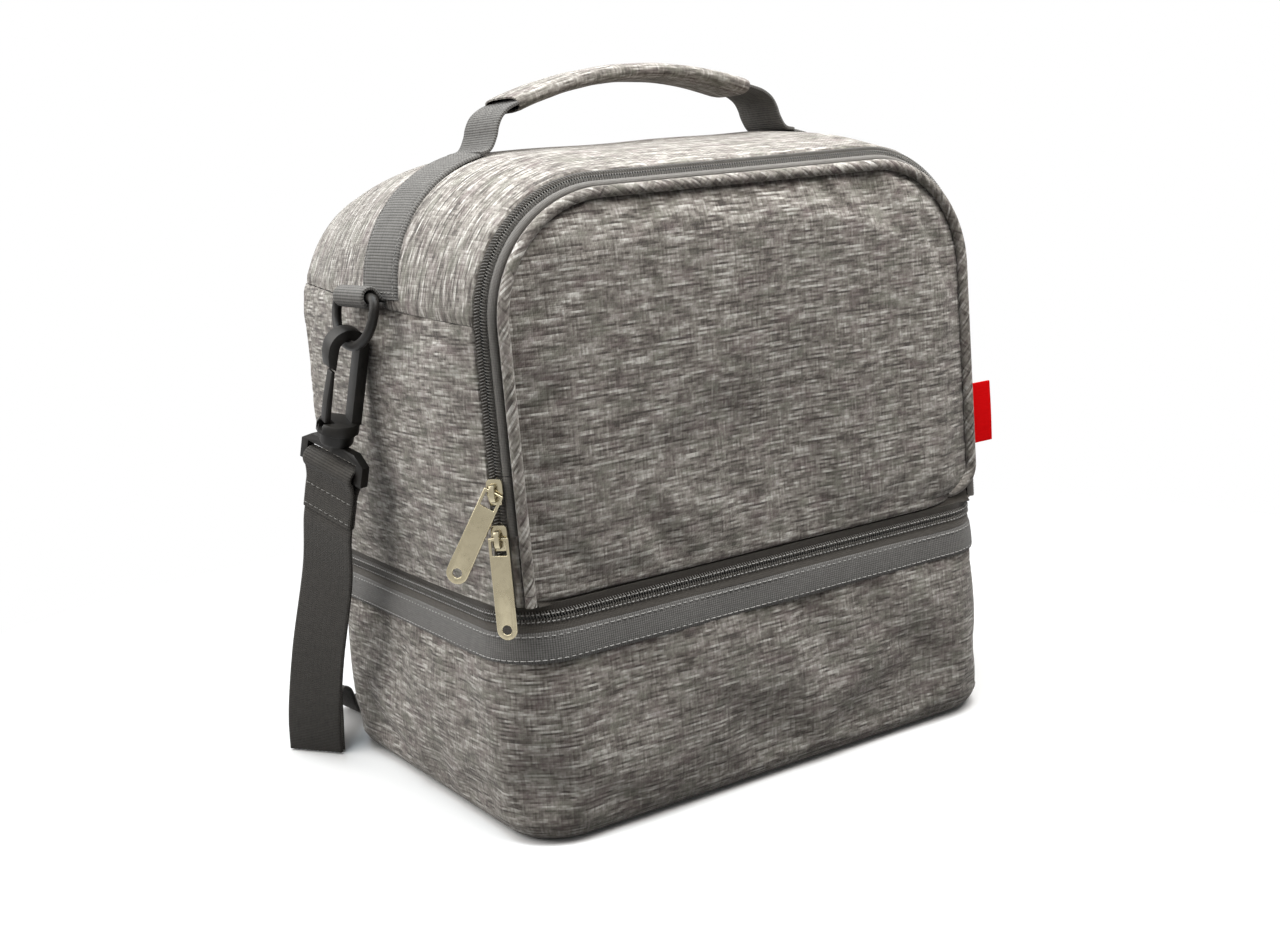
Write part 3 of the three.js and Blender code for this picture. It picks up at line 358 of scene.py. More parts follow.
# %% [markdown]
# ## Cloth finishes
# Melange cloth is woven from yarns that were dyed unevenly before weaving. Each weft yarn has its
# own light and dark stretches, so the cloth shows fine streaks along the weft and weaker ones
# along the warp. A shader node group makes both from noise: the place on the cloth is cut into
# yarns, each yarn reads its own line of the noise, and the yarns are woven over and under. Every
# sum in such a group is a Math node, so a small class lets + - * / make these nodes.

# %% Node helpers
FLOAT, VECTOR = "NodeSocketFloat", "NodeSocketVector"


class Output:
    """One output of a node; a sum of outputs is one more Math node in the same tree."""

    def __init__(self, socket):
        self.socket = socket

    def __add__(self, other):
        return reckon("ADD", self, other)

    def __sub__(self, other):
        return reckon("SUBTRACT", self, other)

    def __rsub__(self, other):
        return reckon("SUBTRACT", other, self)

    def __mul__(self, other):
        return reckon("MULTIPLY", self, other)

    def __truediv__(self, other):
        return reckon("DIVIDE", self, other)

    def __rtruediv__(self, other):
        return reckon("DIVIDE", other, self)


class Outputs:
    """The outputs of a node, by name or number."""

    def __init__(self, node):
        self.node = node

    def __getitem__(self, key):
        return Output(self.node.outputs[key])


def feed(sockets, values):
    """Links outputs to inputs, or sets the inputs to plain values."""
    for key, value in values.items():
        if isinstance(value, Output):
            sockets[key].id_data.links.new(value.socket, sockets[key])
        else:
            sockets[key].default_value = value


def put(tree, kind, inputs=None, **settings):
    """The outputs of a new node with these settings and inputs."""
    node = tree.nodes.new(kind)
    for key, value in settings.items():
        setattr(node, key, value)
    feed(node.inputs, inputs or {})
    return Outputs(node)


def reckon(operation, a, b=0.0):
    tree = next(value.socket.id_data for value in (a, b) if isinstance(value, Output))
    return put(tree, "ShaderNodeMath", {0: a, 1: b}, operation=operation)[0]


# %% Shader helpers
def new_group(name, inputs, outputs):
    """A group, its given outputs and its made inputs; an input without a default is a place."""
    tree = bpy.data.node_groups.new(name, "ShaderNodeTree")
    for label, value in inputs.items():
        kind = VECTOR if value is None else FLOAT
        socket = tree.interface.new_socket(name=label, in_out="INPUT", socket_type=kind)
        if value is not None:
            socket.default_value = value
    for label in outputs:
        tree.interface.new_socket(name=label, in_out="OUTPUT", socket_type=FLOAT)
    return tree, put(tree, "NodeGroupInput"), tree.nodes.new("NodeGroupOutput").inputs


def new_finish(name, **plain):
    """A material's tree and its Principled BSDF's inputs, the even ones set on the sockets."""
    finishes[name] = finish = bpy.data.materials.new(name)
    finish.use_nodes = True
    shader = finish.node_tree.nodes["Principled BSDF"].inputs
    feed(shader, {key.replace("_", " "): value for key, value in plain.items()})
    return finish.node_tree, shader


def noise(tree, place, **settings):
    return put(tree, "ShaderNodeTexNoise", {"Vector": place, **settings})["Fac"]


def noise_at(tree, x, y, z, detail=2.0):
    place = put(tree, "ShaderNodeCombineXYZ", {0: x, 1: y, 2: z})[0]
    return noise(tree, place, Scale=1.0, Detail=detail, Roughness=0.6)


def remap(value, *limits):
    """A value taken from one range to another; limits are from, from, to and to."""
    tree = value.socket.id_data
    return put(tree, "ShaderNodeMapRange", dict(enumerate((value, *limits))))[0]


def blend_colours(tree, factor, a, b, how="MIX"):
    inputs = {0: factor, 6: a, 7: b}
    return put(tree, "ShaderNodeMix", inputs, data_type="RGBA", blend_type=how)[2]


def ramp(tree, factor, stops):
    colours = put(tree, "ShaderNodeValToRGB", {"Fac": factor})
    bar = colours.node.color_ramp
    while len(bar.elements) < len(stops):
        bar.elements.new(0.5)
    for element, (position, colour) in zip(bar.elements, stops):
        element.position, element.color = position, (*colour, 1)
    return colours["Color"]


def bump(tree, height, distance, strength):
    inputs = {"Height": height, "Distance": distance, "Strength": strength}
    return put(tree, "ShaderNodeBump", inputs)["Normal"]


# %% Yarn group
yarns, given, made = new_group(
    "uneven_yarns",
    {"Cloth": None, "Yarn": 0.85 * MM, "Slub": 11.5 * MM, "Seed": 0.0},
    ("Tone", "Tint", "Height"),
)
WEFT_SHARE, WARP_SHARE, PATCH_SHARE = 0.62, 0.24, 0.14
WEFT_APART, WARP_APART = 3.71, 3.17  # in the noise, from one yarn to the next
flat, seed = put(yarns, "ShaderNodeSeparateXYZ", {0: given["Cloth"]}), given["Seed"]
weft, warp = flat[1] / given["Yarn"], flat[0] / given["Yarn"]
weft_row, warp_row = reckon("FLOOR", weft), reckon("FLOOR", warp)
along_weft, along_warp = flat[0] / given["Slub"], flat[1] / (given["Slub"] * 0.7)
weft_tone = noise_at(yarns, along_weft, weft_row * WEFT_APART, seed, 3.0)
warp_tone = noise_at(yarns, warp_row * WARP_APART, along_warp, seed + 17.0, 3.0)
patch_tone = noise_at(yarns, along_weft * 0.45, along_warp * 2.2, seed + 31.0)


def yarn_round(place):
    """Height across one yarn: 0 at its edges and 1 in its middle."""
    off = reckon("FRACT", place) * 2.0 - 1.0
    return 1.0 - off * off


over = reckon("ABSOLUTE", reckon("MODULO", weft_row + warp_row, 2.0))
weave = {0: over, 2: yarn_round(weft), 3: yarn_round(warp)}
feed(made, {
    "Tone": weft_tone * WEFT_SHARE + (warp_tone * WARP_SHARE + patch_tone * PATCH_SHARE),
    "Tint": noise_at(yarns, along_weft * 0.8, along_warp, seed + 53.0),
    "Height": put(yarns, "ShaderNodeMix", weave)[0],
})
print("group", yarns.name, "with", len(yarns.nodes), "nodes")

# %% Handling group
# Cloth that is handled is never one even tone: it is a little darker and lighter in soft patches.
handling, given, made = new_group(
    "soft_handling", {"Place": None, "Size": 0.05, "Depth": 0.12}, ("Shade",)
)
broad = noise(handling, given["Place"], Scale=1.0 / given["Size"], Detail=3.0)
feed(made, {"Shade": (broad - 0.5) * 2.0 * given["Depth"] + 1.0})


def cloth_places(tree):
    return put(tree, "ShaderNodeUVMap", uv_map="cloth")["UV"]


def object_places(tree):
    return put(tree, "ShaderNodeTexCoord")["Object"]


def shaded(tree, colour, size, depth):
    inputs = {"Place": object_places(tree), "Size": size, "Depth": depth}
    shade = put(tree, "ShaderNodeGroup", inputs, node_tree=handling)[0]
    grey = put(tree, "ShaderNodeCombineColor", {0: shade, 1: shade, 2: shade})[0]
    return blend_colours(tree, 1.0, colour, grey, "MULTIPLY")


print("group", handling.name)

# %% Melange
MELANGE = (  # the tone at which the yarn has each colour
    (0.400, (0.050, 0.042, 0.036)),
    (0.455, (0.115, 0.100, 0.087)),
    (0.505, (0.205, 0.186, 0.165)),
    (0.555, (0.330, 0.309, 0.280)),
    (0.620, (0.560, 0.540, 0.505)),
)
MAUVE = (0.150, 0.112, 0.110, 1)
OLIVE = (0.150, 0.150, 0.118, 1)
TINT_SHARE = 0.42
MELANGE_SEED = 2.0
tree, shader = new_finish(
    "grey_melange", Roughness=0.92, Sheen_Weight=0.12, Sheen_Roughness=0.5
)
inputs = {"Cloth": cloth_places(tree), "Seed": MELANGE_SEED}
yarn = put(tree, "ShaderNodeGroup", inputs, node_tree=yarns)
colour = ramp(tree, yarn["Tone"], MELANGE)
for tint, none, full in ((MAUVE, 0.54, 0.68), (OLIVE, 0.46, 0.34)):
    colour = blend_colours(tree, remap(yarn["Tint"], none, full, 0.0, TINT_SHARE), colour, tint)
feed(shader, {
    "Base Color": shaded(tree, colour, size=0.06, depth=0.14),
    "Normal": bump(tree, yarn["Height"] + yarn["Tone"], distance=0.12 * MM, strength=0.7),
})
print("finish", *finishes)

# %% [markdown]
# ## Webbing and tape
# Webbing is a thick narrow weave: its ribs run along it, and each rib is crossed by fine yarns.
# The same group serves the handle webbing, the darker strap, the band round the base, the zip tapes
# and the red tab, each with its own rib width and colour.

# %% Rib group and its finishes
ribs, given, made = new_group(
    "narrow_weave",
    {"Cloth": None, "Rib": 2.4 * MM, "Pick": 1.1 * MM, "Seed": 0.0},
    ("Height", "Tone"),
)
flat = put(ribs, "ShaderNodeSeparateXYZ", {0: given["Cloth"]})
FLECKS = 260.0  # in a metre
rib_place = flat[1] / given["Rib"]
pick = yarn_round(flat[0] / given["Pick"])
half_rib = reckon("FLOOR", rib_place * 2.0)
fleck = noise_at(ribs, flat[0] * FLECKS, half_rib * 2.3, given["Seed"])
feed(made, {
    "Height": yarn_round(rib_place) * 0.4 + pick * 0.6,
    "Tone": fleck * 0.45 + pick * 0.35,
})

WEBBINGS = {  # dark and light yarn; rib, pick and depth in mm; sheen
    "handle_webbing": ((0.045, 0.042, 0.039), (0.148, 0.142, 0.133), (2.4, 1.1, 0.35), 0.1),
    "strap_webbing": ((0.018, 0.016, 0.014), (0.070, 0.064, 0.056), (2.4, 1.1, 0.35), 0.1),
    "band_grosgrain": ((0.070, 0.067, 0.063), (0.203, 0.197, 0.189), (0.9, 1.0, 0.20), 0.1),
    "arch_tape": ((0.085, 0.079, 0.072), (0.205, 0.195, 0.182), (0.8, 0.6, 0.12), 0.1),
    # the tape's own colour darkened as painted shade, for the upper base tape and the sill under the overhang
    "base_tape": ((0.026, 0.022, 0.018), (0.070, 0.062, 0.053), (0.8, 0.6, 0.12), 0.1),
    "red_tab_weave": ((0.600, 0.003, 0.004), (0.860, 0.008, 0.010), (0.5, 0.5, 0.06), 0.0),
    "lower_tape": ((0.042, 0.037, 0.032), (0.112, 0.102, 0.090), (0.8, 0.6, 0.12), 0.1),
}
for seed, (name, (dark, light, sizes, sheen)) in enumerate(WEBBINGS.items(), 1):
    rib, pick, deep = mm(*sizes)
    tree, shader = new_finish(
        name, Roughness=0.85, Sheen_Weight=sheen, Sheen_Roughness=0.45, Specular_IOR_Level=3 * sheen
    )
    inputs = {"Cloth": cloth_places(tree), "Rib": rib, "Pick": pick, "Seed": seed}
    weave = put(tree, "ShaderNodeGroup", inputs, node_tree=ribs)
    colour = ramp(tree, weave["Tone"], [(0.2, dark), (0.75, light)])
    feed(shader, {
        "Base Color": shaded(tree, colour, size=0.04, depth=0.1),
        "Normal": bump(tree, weave["Height"], distance=deep, strength=0.9),
    })
print("webbing finishes:", *WEBBINGS)

# %% [markdown]
# ## Foil, plastic, metal and thread
# The lining is a silvered film over foam, creased by use. The strap hardware is moulded black
# plastic with a faint grain and scuffs. The zip pulls are brass-plated and a little tarnished.

# %% Grain group and its finishes
grain, given, made = new_group(
    "fine_grain", {"Place": None, "Size": 0.4 * MM, "Marks": 6 * MM}, ("Height", "Marks")
)
marks = noise(grain, given["Place"], Scale=1.0 / given["Marks"], Detail=6.0, Roughness=0.7)
feed(made, {
    "Height": noise(grain, given["Place"], Scale=1.0 / given["Size"], Detail=2.0),
    "Marks": remap(marks, 0.45, 0.75, 0.0, 1.0),
})

GRAINED = {  # colour and roughness, clean and then marked; depth, grain and marks in mm
    "black_plastic": ((0.010, 0.009, 0.008), (0.022, 0.020, 0.017), (0.40, 0.56), (0.03, 0.5, 9)),
    "aged_brass": ((0.410, 0.362, 0.250), (0.300, 0.260, 0.175), (0.20, 0.38), (0.02, 0.4, 7)),
    "silver_film": ((0.310, 0.315, 0.320), (0.230, 0.235, 0.240), (0.50, 0.64), (0.8, 7, 14)),
    "coil_nylon": ((0.085, 0.079, 0.070), (0.140, 0.131, 0.119), (0.38, 0.55), (0.02, 0.4, 4)),
    # pale thread; on the base zip its paleness is also painted highlight on the bends of the coil
    "pale_thread": ((0.330, 0.322, 0.310), (0.235, 0.228, 0.218), (0.60, 0.80), (0.03, 0.3, 3)),
    "grey_thread": ((0.170, 0.163, 0.153), (0.120, 0.114, 0.106), (0.60, 0.80), (0.03, 0.3, 3)),
    "board_grey": ((0.035, 0.035, 0.035), (0.060, 0.060, 0.060), (0.60, 0.75), (0.05, 1, 20)),
}
EVEN = {
    "black_plastic": {"Specular_IOR_Level": 0.22},
    "aged_brass": {"Metallic": 0.9},
    "silver_film": {"Metallic": 0.5},
}
for name, (clean, marked, roughness, sizes) in GRAINED.items():
    deep, size, mark_size = mm(*sizes)
    tree, shader = new_finish(name, **EVEN.get(name, {}))
    inputs = {"Place": object_places(tree), "Size": size, "Marks": mark_size}
    surface = put(tree, "ShaderNodeGroup", inputs, node_tree=grain)
    feed(shader, {
        "Base Color": blend_colours(tree, surface["Marks"], (*clean, 1), (*marked, 1)),
        "Roughness": remap(surface["Marks"], 0.0, 1.0, *roughness),
        "Normal": bump(tree, surface["Height"], distance=deep, strength=0.6),
    })
print("grained finishes:", *GRAINED)

# %% [markdown]
# ## Settling cloth
# Cloth that is sewn along its edges and backed by foam stands a little proud and creases where it
# has length to spare. Blender's cloth solver does this well: the edges are pinned, the cloth is
# given a touch more length than its frame, and a light pressure from the foam pushes it out.

# %% Cloth settling
SETTLE_FRAMES = 18
SOLVER = {
    "vertex_group_mass": "held",
    "use_pressure": True,
    "tension_stiffness": 20,
    "compression_stiffness": 20,
    "bending_stiffness": 4,
}


def settle(grid, pinned, pressure, spare, cap, wrap=False):
    """The grid after the solver has pressed it out between its pinned points.

    Spare is the share of length to spare, and no point moves further than the cap."""
    rows, columns = grid.shape[:2]
    corner = np.arange(rows * columns).reshape(rows, columns)
    ahead = np.roll(corner, -1, 0)
    quads = np.stack((corner[:, :-1], ahead[:, :-1], ahead[:, 1:], corner[:, 1:]), -1)
    faces = (quads if wrap else quads[:-1]).reshape(-1, 4).tolist()
    trial = new_piece("settling", grid.reshape(-1, 3), faces)
    outward = grid_normals(grid, wrap)[rows // 2, columns // 2]
    if np.dot(outward, trial.data.polygons[len(faces) // 2].normal) < 0:
        trial.data.flip_normals()
    held = trial.vertex_groups.new(name="held")
    held.add(np.flatnonzero(pinned).tolist(), 1.0, "REPLACE")
    cloth = trial.modifiers.new("cloth", "CLOTH")
    for key, value in SOLVER.items():
        setattr(cloth.settings, key, value)
    cloth.settings.uniform_pressure_force = pressure
    cloth.settings.shrink_min = -spare
    cloth.settings.effector_weights.gravity = 0
    cloth.collision_settings.use_collision = False
    for step in range(1, SETTLE_FRAMES + 1):
        scene.frame_set(step)
    result = trial.evaluated_get(bpy.context.evaluated_depsgraph_get()).data
    shift = np.array([v.co for v in result.vertices]).reshape(grid.shape) - grid
    bpy.data.objects.remove(trial)
    scene.frame_set(1)
    size = np.linalg.norm(shift, axis=-1, keepdims=True)
    return grid + shift * np.minimum(1, cap / np.maximum(size, 1e-9))


def pin_edges(grid, margin):
    """The outermost rows and columns of a grid, which are sewn."""
    pinned = np.ones(grid.shape[:2], bool)
    pinned[margin:-margin, margin:-margin] = False
    return pinned


print("settling", "on")

# %% [markdown]
# ## Upper walls
# A top gusset comes over the arch and meets a side panel at a seam on each side. The gusset's
# streaks run over the arch, those of the side panels run level. Each piece is a grid of the arch
# by the bag's depth. Its front edge is turned under beside the zip, and small gathers run along
# every seam.

# %% Gusset and side panels
BACK_TURN = 0.85
SEAM_SLOPE = 0.0756
SIDE_CLOTH = 0.3  # the side panels are cut from other places of the cloth
HEM = mm((1.6, -2.4), (0.2, -1.9), (-0.5, -1.0), (-0.3, -0.25))  # depth and sink, turned under
wall_depths = np.concatenate((
    HEM[:, 0] - REACH,
    np.linspace(-REACH + 1.2 * MM, REACH, 56),
    REACH + EDGE * np.linspace(0.15, BACK_TURN, 7),
))
hem_sink = np.append(HEM[:, 1], np.zeros(len(wall_depths) - len(HEM)))
wall_front = np.maximum(wall_depths + REACH, 0)
side_seam = SEAM_RUN + 0.8 * MM - SEAM_SLOPE * wall_depths  # it comes down towards the front


def wall_surface(run, seed):
    """Outer face of a wall, with gathers beside its seams and its front edge."""
    grid = on_arch(run, gusset_out(run, wall_depths) + hem_sink, wall_depths)
    lift = 0.55 * MM * undulation(grid, 62 * MM, seed) * fade(wall_front, 25 * MM)
    lift += 0.22 * MM * pucker(wall_front, run, 11 * MM, seed + 1) * (hem_sink == 0)
    gap = np.abs(np.abs(run) - side_seam)
    lift += 0.30 * MM * pucker(gap, wall_depths, 9 * MM, seed + 2)
    lift -= 0.5 * MM * bell(gap, 0, 1.4 * MM)
    lift += 0.4 * MM * bell(gap, 4 * MM, 2 * MM)
    lift *= fade(BACK - 1 * MM - wall_depths, 8 * MM)
    return soften(grid, lift)


run = np.linspace(-1, 1, 150)[:, None] * side_seam
cloth = points(run, wall_depths)
sew("gusset_melange", wall_surface(run, 11), cloth, "upper", "grey_melange", "gusset_top")
side_top = side_seam + 0.2 * MM
side_run = side_top + np.linspace(0, 1, 64)[:, None] * (FOOT_RUN - side_top)
for name, way in SIDES:
    surface = wall_surface(way * side_run, 21 + way)
    surface = settle(surface, pin_edges(surface, 5), pressure=1.2, spare=0.012, cap=1.6 * MM)
    cloth = points(wall_depths + SIDE_CLOTH * way, way * side_run)
    sew(
        f"side_{name}_melange", surface, cloth, "upper", "grey_melange", f"side_panel_{name}"
    )
print("walls of", surface.shape[:2], "points a side")

# %% [markdown]
# ## Arched panels
# The back panel, the flap and their linings share one outline: the arch, set in by an amount. Rows
# run from side to side and get narrower round the corners, so one grid fills the whole arch.

# %% Panel grids
def arch_panel(inset, foot, columns, corner=0.0, free_foot=False):
    """x and z of a grid that fills the arch set in by an inset, and each point's edge distance.

    A corner above 0 rounds off the lower right corner; a free foot does not count as an edge."""
    radius = ARCH_RADIUS - inset
    low = foot + corner * (1 - np.cos(np.linspace(0, QUARTER, 8)))[:-1] if corner else []
    sides = np.linspace(foot + corner, ARCH_Z, 40)
    arcs = ARCH_Z + radius * np.sin(np.linspace(0, QUARTER, 26)[1:])
    z = np.concatenate((low, sides, arcs))[:, None]
    arc = fade(z - ARCH_Z, radius)
    drop = fade(foot + corner - z, corner) if corner else 0 * z
    left = -ARCH_X - radius * np.sqrt(1 - arc * arc)
    right = -left - corner * (1 - np.sqrt(1 - drop * drop))
    x = left + (right - left) * np.linspace(0, 1, columns)
    over_x, over_z = np.maximum(np.abs(x) - ARCH_X, 0), np.maximum(z - ARCH_Z, 0)
    gap = np.minimum(radius - np.hypot(over_x, over_z), right - x)
    if not free_foot:
        gap = np.minimum(gap, z - foot)
    return x, z, np.maximum(gap, 0)


def crowned(gap, height, reach):
    """A pillow: 0 at the edge, full height at a reach from it."""
    return height * (1 - (1 - fade(gap, reach)) ** 2)


# %% Back panel
BACK_INSET = EDGE * (1 - math.sqrt(1 - BACK_TURN**2)) + 0.4 * MM
PILLOW = 22 * MM
x, z, gap = arch_panel(BACK_INSET, PANEL_FOOT, 80)
surface = points(x, BACK - 1.4 * MM + crowned(gap, 1.4 * MM, PILLOW), z)
lift = 0.5 * MM * undulation(surface, 60 * MM, 31) * fade(gap, 20 * MM)
surface[..., 1] += np.minimum(lift, 0.3 * MM)
sew("back_melange", surface, points(x, z), "upper", "grey_melange", "back_panel")
print("back panel of", surface.shape[:2], "points")

# %% [markdown]
# ## Flap
# The flap's front panel is melange over foam. It is sewn into a piped edge, so its border lies a little deeper
# than the cord of the piping, and its middle is pushed out by the foam. Its lower right corner is cut round. Its
# lower edge has no piping: there the cloth goes on below the fold line and rolls under.

# %% Front panel
PANEL_INSET = 10.7 * MM
FLAP_CORNER = 12 * MM
x, z, gap = arch_panel(PANEL_INSET, FLAP_FOOT, 96, FLAP_CORNER, free_foot=True)
surface = points(x, FRONT + 2.6 * MM - crowned(gap, 4.0 * MM, PILLOW), z)
along_edge = np.where(np.abs(x) > ARCH_X, z, x)
lift = 0.45 * MM * undulation(surface, 70 * MM, 41) * fade(gap, 20 * MM)
lift += 0.28 * MM * pucker(gap, along_edge, 10 * MM, 42)
surface[..., 1] -= lift
surface = settle(surface, pin_edges(surface, 3), pressure=1.0, spare=0.012, cap=2.0 * MM)
flap_cloth = sew("flap_melange", surface, points(x, z), "flap", "grey_melange", "front_panel")
print("flap panel", len(flap_cloth.data.vertices), "points")

# %% Rolled strip below the flap
HEM_ROLL = 2.4 * MM
hem_z = mm(105.1, 104.3, 103.5, 102.8, 102.1, 101.6, 101.25, 101.1)[:, None]
under = np.clip(1 - (hem_z - hem_z[-1]) / HEM_ROLL, 0, 1)
hem_y = surface[0, :, 1] + HEM_ROLL * (1 - np.sqrt(1 - under**2))
hem_grid = points(surface[0, :, 0], hem_y, hem_z)
flap_hem = sew("flap_hem_melange", hem_grid, points(x[0], hem_z), None, "grey_melange")
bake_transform(flap_hem)
print("strip below the flap", round(float(np.ptp(hem_z)), 4), "m deep")

# %% Piping
PIPING_RADIUS = 2.3 * MM
PIPING_WALL = 0.45  # share of the radius
PIPING_SIDES = 14
PIPING_OUT = -8.8 * MM
PIPING_DEPTH = FRONT + 1.2 * MM
BIAS = math.radians(38)


def lengths_along(path):
    """Distances along a path from its first point."""
    return np.append(0, np.cumsum(np.linalg.norm(np.diff(path, axis=0), axis=1)))


def cord(name, path, body, *nodes):
    """A round cord along a path, in cloth that is cut on the bias."""
    tangent = unit(np.gradient(path, axis=0))
    across = unit(np.cross(tangent, (0, 1.0, 0)))
    angles = np.linspace(0, CIRCLE, PIPING_SIDES + 1)[:, None, None]
    ring = PIPING_RADIUS * (np.cos(angles) * across + np.sin(angles) * np.cross(across, tangent))
    along, around = lengths_along(path), angles[..., 0] * PIPING_RADIUS
    cloth = points(
        along * math.cos(BIAS) - around * math.sin(BIAS),
        along * math.sin(BIAS) + around * math.cos(BIAS),
    )
    outer, inner = path + ring, path + (1 - PIPING_WALL) * ring
    place(sewn(name, outer[:-1], inner[:-1], cloth, True), body, "grey_melange", *nodes)


cord_foot = arch_run(FLAP_FOOT + GAP)
flap_foot_run = arch_run(FLAP_FOOT + FLAP_CORNER)
turn = np.linspace(0, QUARTER, 14)[1:]
corner_radius = FLAP_CORNER + PIPING_RADIUS * 0.6
corner_path = points(
    HALF + PIPING_OUT - corner_radius * (1 - np.cos(turn)),
    PIPING_DEPTH + 3 * MM * (turn / QUARTER) ** 2,
    FLAP_FOOT + FLAP_CORNER - corner_radius * 0.9 * np.sin(turn),
)
arch_path = on_arch(np.linspace(-cord_foot, flap_foot_run, 240), PIPING_OUT, PIPING_DEPTH)
cord("flap_piping_melange", np.concatenate((arch_path, corner_path)), "flap", "flap_piping")
stub_runs = np.linspace(-cord_foot - 0.2 * MM, -arch_run(PANEL_FOOT + 0.4 * MM), 10)
cord("piping_end_melange", on_arch(stub_runs, PIPING_OUT, PIPING_DEPTH), "upper")
print("piping", round(float(lengths_along(arch_path)[-1]), 3), "m over the arch")

# %% [markdown]
# ## Arched zip
# The zip lies on a bevel between gusset and flap. One tape is sewn under the gusset's turned edge
# and one beside the piping. Its parked end, where the two sliders rest, stays on the gusset, and so
# does its other end, below the place where the flap's corner turns away.

# %% Tapes on the bevel
TAPE = 0.45 * MM
zip_foot_run = arch_run(PANEL_FOOT + 0.5 * MM)
zone_run = arch_run(152.6 * MM)  # the sliders rest below this height
tab_run = arch_run(128.8 * MM)
# Places down the bevel and the heights over it, across each tape.
GUSSET_TAPE = mm((0.2, 0.7, 1.4, 2.4, 3.5), (-1.6, -0.6, -0.3, -0.3, -0.4))
FLAP_TAPE = mm(
    (4.4, 5.6, 6.5, 6.8, 7.3, 8.1, 9.0, 9.7, 10.1, 10.5),
    (-0.3, -0.4, -0.5, 0.2, 0.9, 1.2, 1.1, 0.6, -0.4, -1.6),
)
END_TAB = mm((7.3, 7.5, 8.4, 9.4, 10.2, 10.4), (0.3, 1.1, 1.5, 1.5, 1.1, 0.3))
ends = {
    "gusset": (-zip_foot_run, zip_foot_run, 180),
    "flap": (-zone_run, flap_foot_run, 180),
    "parked": (-zip_foot_run, -zone_run - GAP, 24),
    "foot": (flap_foot_run + GAP, zip_foot_run, 14),
    "tab": (-zip_foot_run, -tab_run, 14),
}
for name, part, profile, body, finish, *nodes in (
    ("arch_tape_gusset", "gusset", GUSSET_TAPE, "upper", "lower_tape", "arch_zip_tape"),
    ("arch_tape_flap", "flap", FLAP_TAPE, "flap", "arch_tape", "flap_zip_tape"),
    ("arch_tape_parked", "parked", FLAP_TAPE, "upper", "arch_tape", "zip_end_tape"),
    ("arch_tape_foot", "foot", FLAP_TAPE, "upper", "arch_tape"),
    ("zip_end_melange", "tab", END_TAB, "upper", "grey_melange", "zip_end_tab"),
):
    out, y = on_bevel(*profile)
    runs = np.linspace(*ends[part])[:, None]
    cloth = points(runs, lengths_along(points(out, y)))
    sew(name, on_arch(runs, out, y), cloth, body, finish, *nodes, thick=TAPE)
print("tapes on the bevel:", *ends)

# %% [markdown]
# ## Turns of thread and wire
# A zip coil is one long nylon wire wound into turns, and a row of stitches is one thread that dips
# in and out of the cloth. Both repeat one small bent wire along a route, so one geometry node tree
# makes both. A route is a line of points, each with the way it faces. The tree walks along it at a
# pitch, sets a bent wire at each step, makes the copies real and gives them a finish.

# %% Node tree for turns
WIRE_STEPS = 5
GEOMETRY = "NodeSocketGeometry"
turns_tree = bpy.data.node_groups.new("turns_of_wire", "GeometryNodeTree")
turn_inputs = {}
for label, kind in (
    ("Route", GEOMETRY), ("Pitch", FLOAT), ("From", VECTOR), ("Over", VECTOR), ("To", VECTOR),
    ("Radius", FLOAT), ("Finish", "NodeSocketMaterial"),
):
    socket = turns_tree.interface.new_socket(name=label, in_out="INPUT", socket_type=kind)
    turn_inputs[label] = socket.identifier
turns_tree.interface.new_socket(name="Turns", in_out="OUTPUT", socket_type=GEOMETRY)
given = put(turns_tree, "NodeGroupInput")


def turn_node(kind, inputs=None, **settings):
    return put(turns_tree, f"GeometryNode{kind}", inputs, **settings)[0]


line = turn_node("MeshToCurve", {"Mesh": given["Route"]})
steps = turn_node("ResampleCurve", {"Curve": line, "Length": given["Pitch"]}, mode="LENGTH")
wire = turn_node("CurveQuadraticBezier", {
    "Resolution": WIRE_STEPS,
    "Start": given["From"],
    "Middle": given["Over"],
    "End": given["To"],
})
ring = turn_node("CurvePrimitiveCircle", {"Resolution": WIRE_STEPS, "Radius": given["Radius"]})
one_turn = turn_node("CurveToMesh", {"Curve": wire, "Profile Curve": ring, "Fill Caps": True})
facing = turn_node("InputNamedAttribute", {"Name": "facing"}, data_type="FLOAT_VECTOR")
aim = put(
    turns_tree,
    "FunctionNodeAxesToRotation",
    {0: facing, 1: turn_node("InputTangent")},
    primary_axis="Z",
    secondary_axis="Y",
)[0]
copies = turn_node("InstanceOnPoints", {"Points": steps, "Instance": one_turn, "Rotation": aim})
real = turn_node("RealizeInstances", {0: copies})
dressed = turn_node("SetMaterial", {"Geometry": real, "Material": given["Finish"]})
feed(turns_tree.nodes.new("NodeGroupOutput").inputs, {"Turns": dressed})
print("turn inputs:", *turn_inputs)

# %% Turns along routes
def keep_shape(piece):
    """Makes the shape that the modifiers give into the piece's own mesh."""
    graph = bpy.context.evaluated_depsgraph_get()
    piece.data = bpy.data.meshes.new_from_object(piece.evaluated_get(graph))
    piece.modifiers.clear()
    piece.data.shade_smooth()


def turns(name, routes, pitch, bend, radius, body, finish, *nodes, slot=None):
    """Turns along routes, each a list of points and the ways that they face."""
    places, edges, ways = [], [], []
    for path, facing in routes:
        first = len(places)
        places.extend(path)
        ways.extend(np.broadcast_to(facing, np.shape(path)))
        edges.extend((first + i, first + i + 1) for i in range(len(path) - 1))
    piece = new_piece(name, places, [], edges)
    layer = piece.data.attributes.new("facing", "FLOAT_VECTOR", "POINT")
    layer.data.foreach_set("vector", np.asarray(ways, np.float32).ravel())
    modifier = piece.modifiers.new("turns", "NODES")
    modifier.node_group = turns_tree
    values = {"Pitch": pitch, "Radius": radius, "Finish": finishes[finish]}
    for label, value in (*values.items(), *zip(("From", "Over", "To"), bend)):
        modifier[turn_inputs[label]] = value
    keep_shape(piece)
    face_outwards(piece.data)
    return place(piece, body, finish, *nodes, slot=slot)


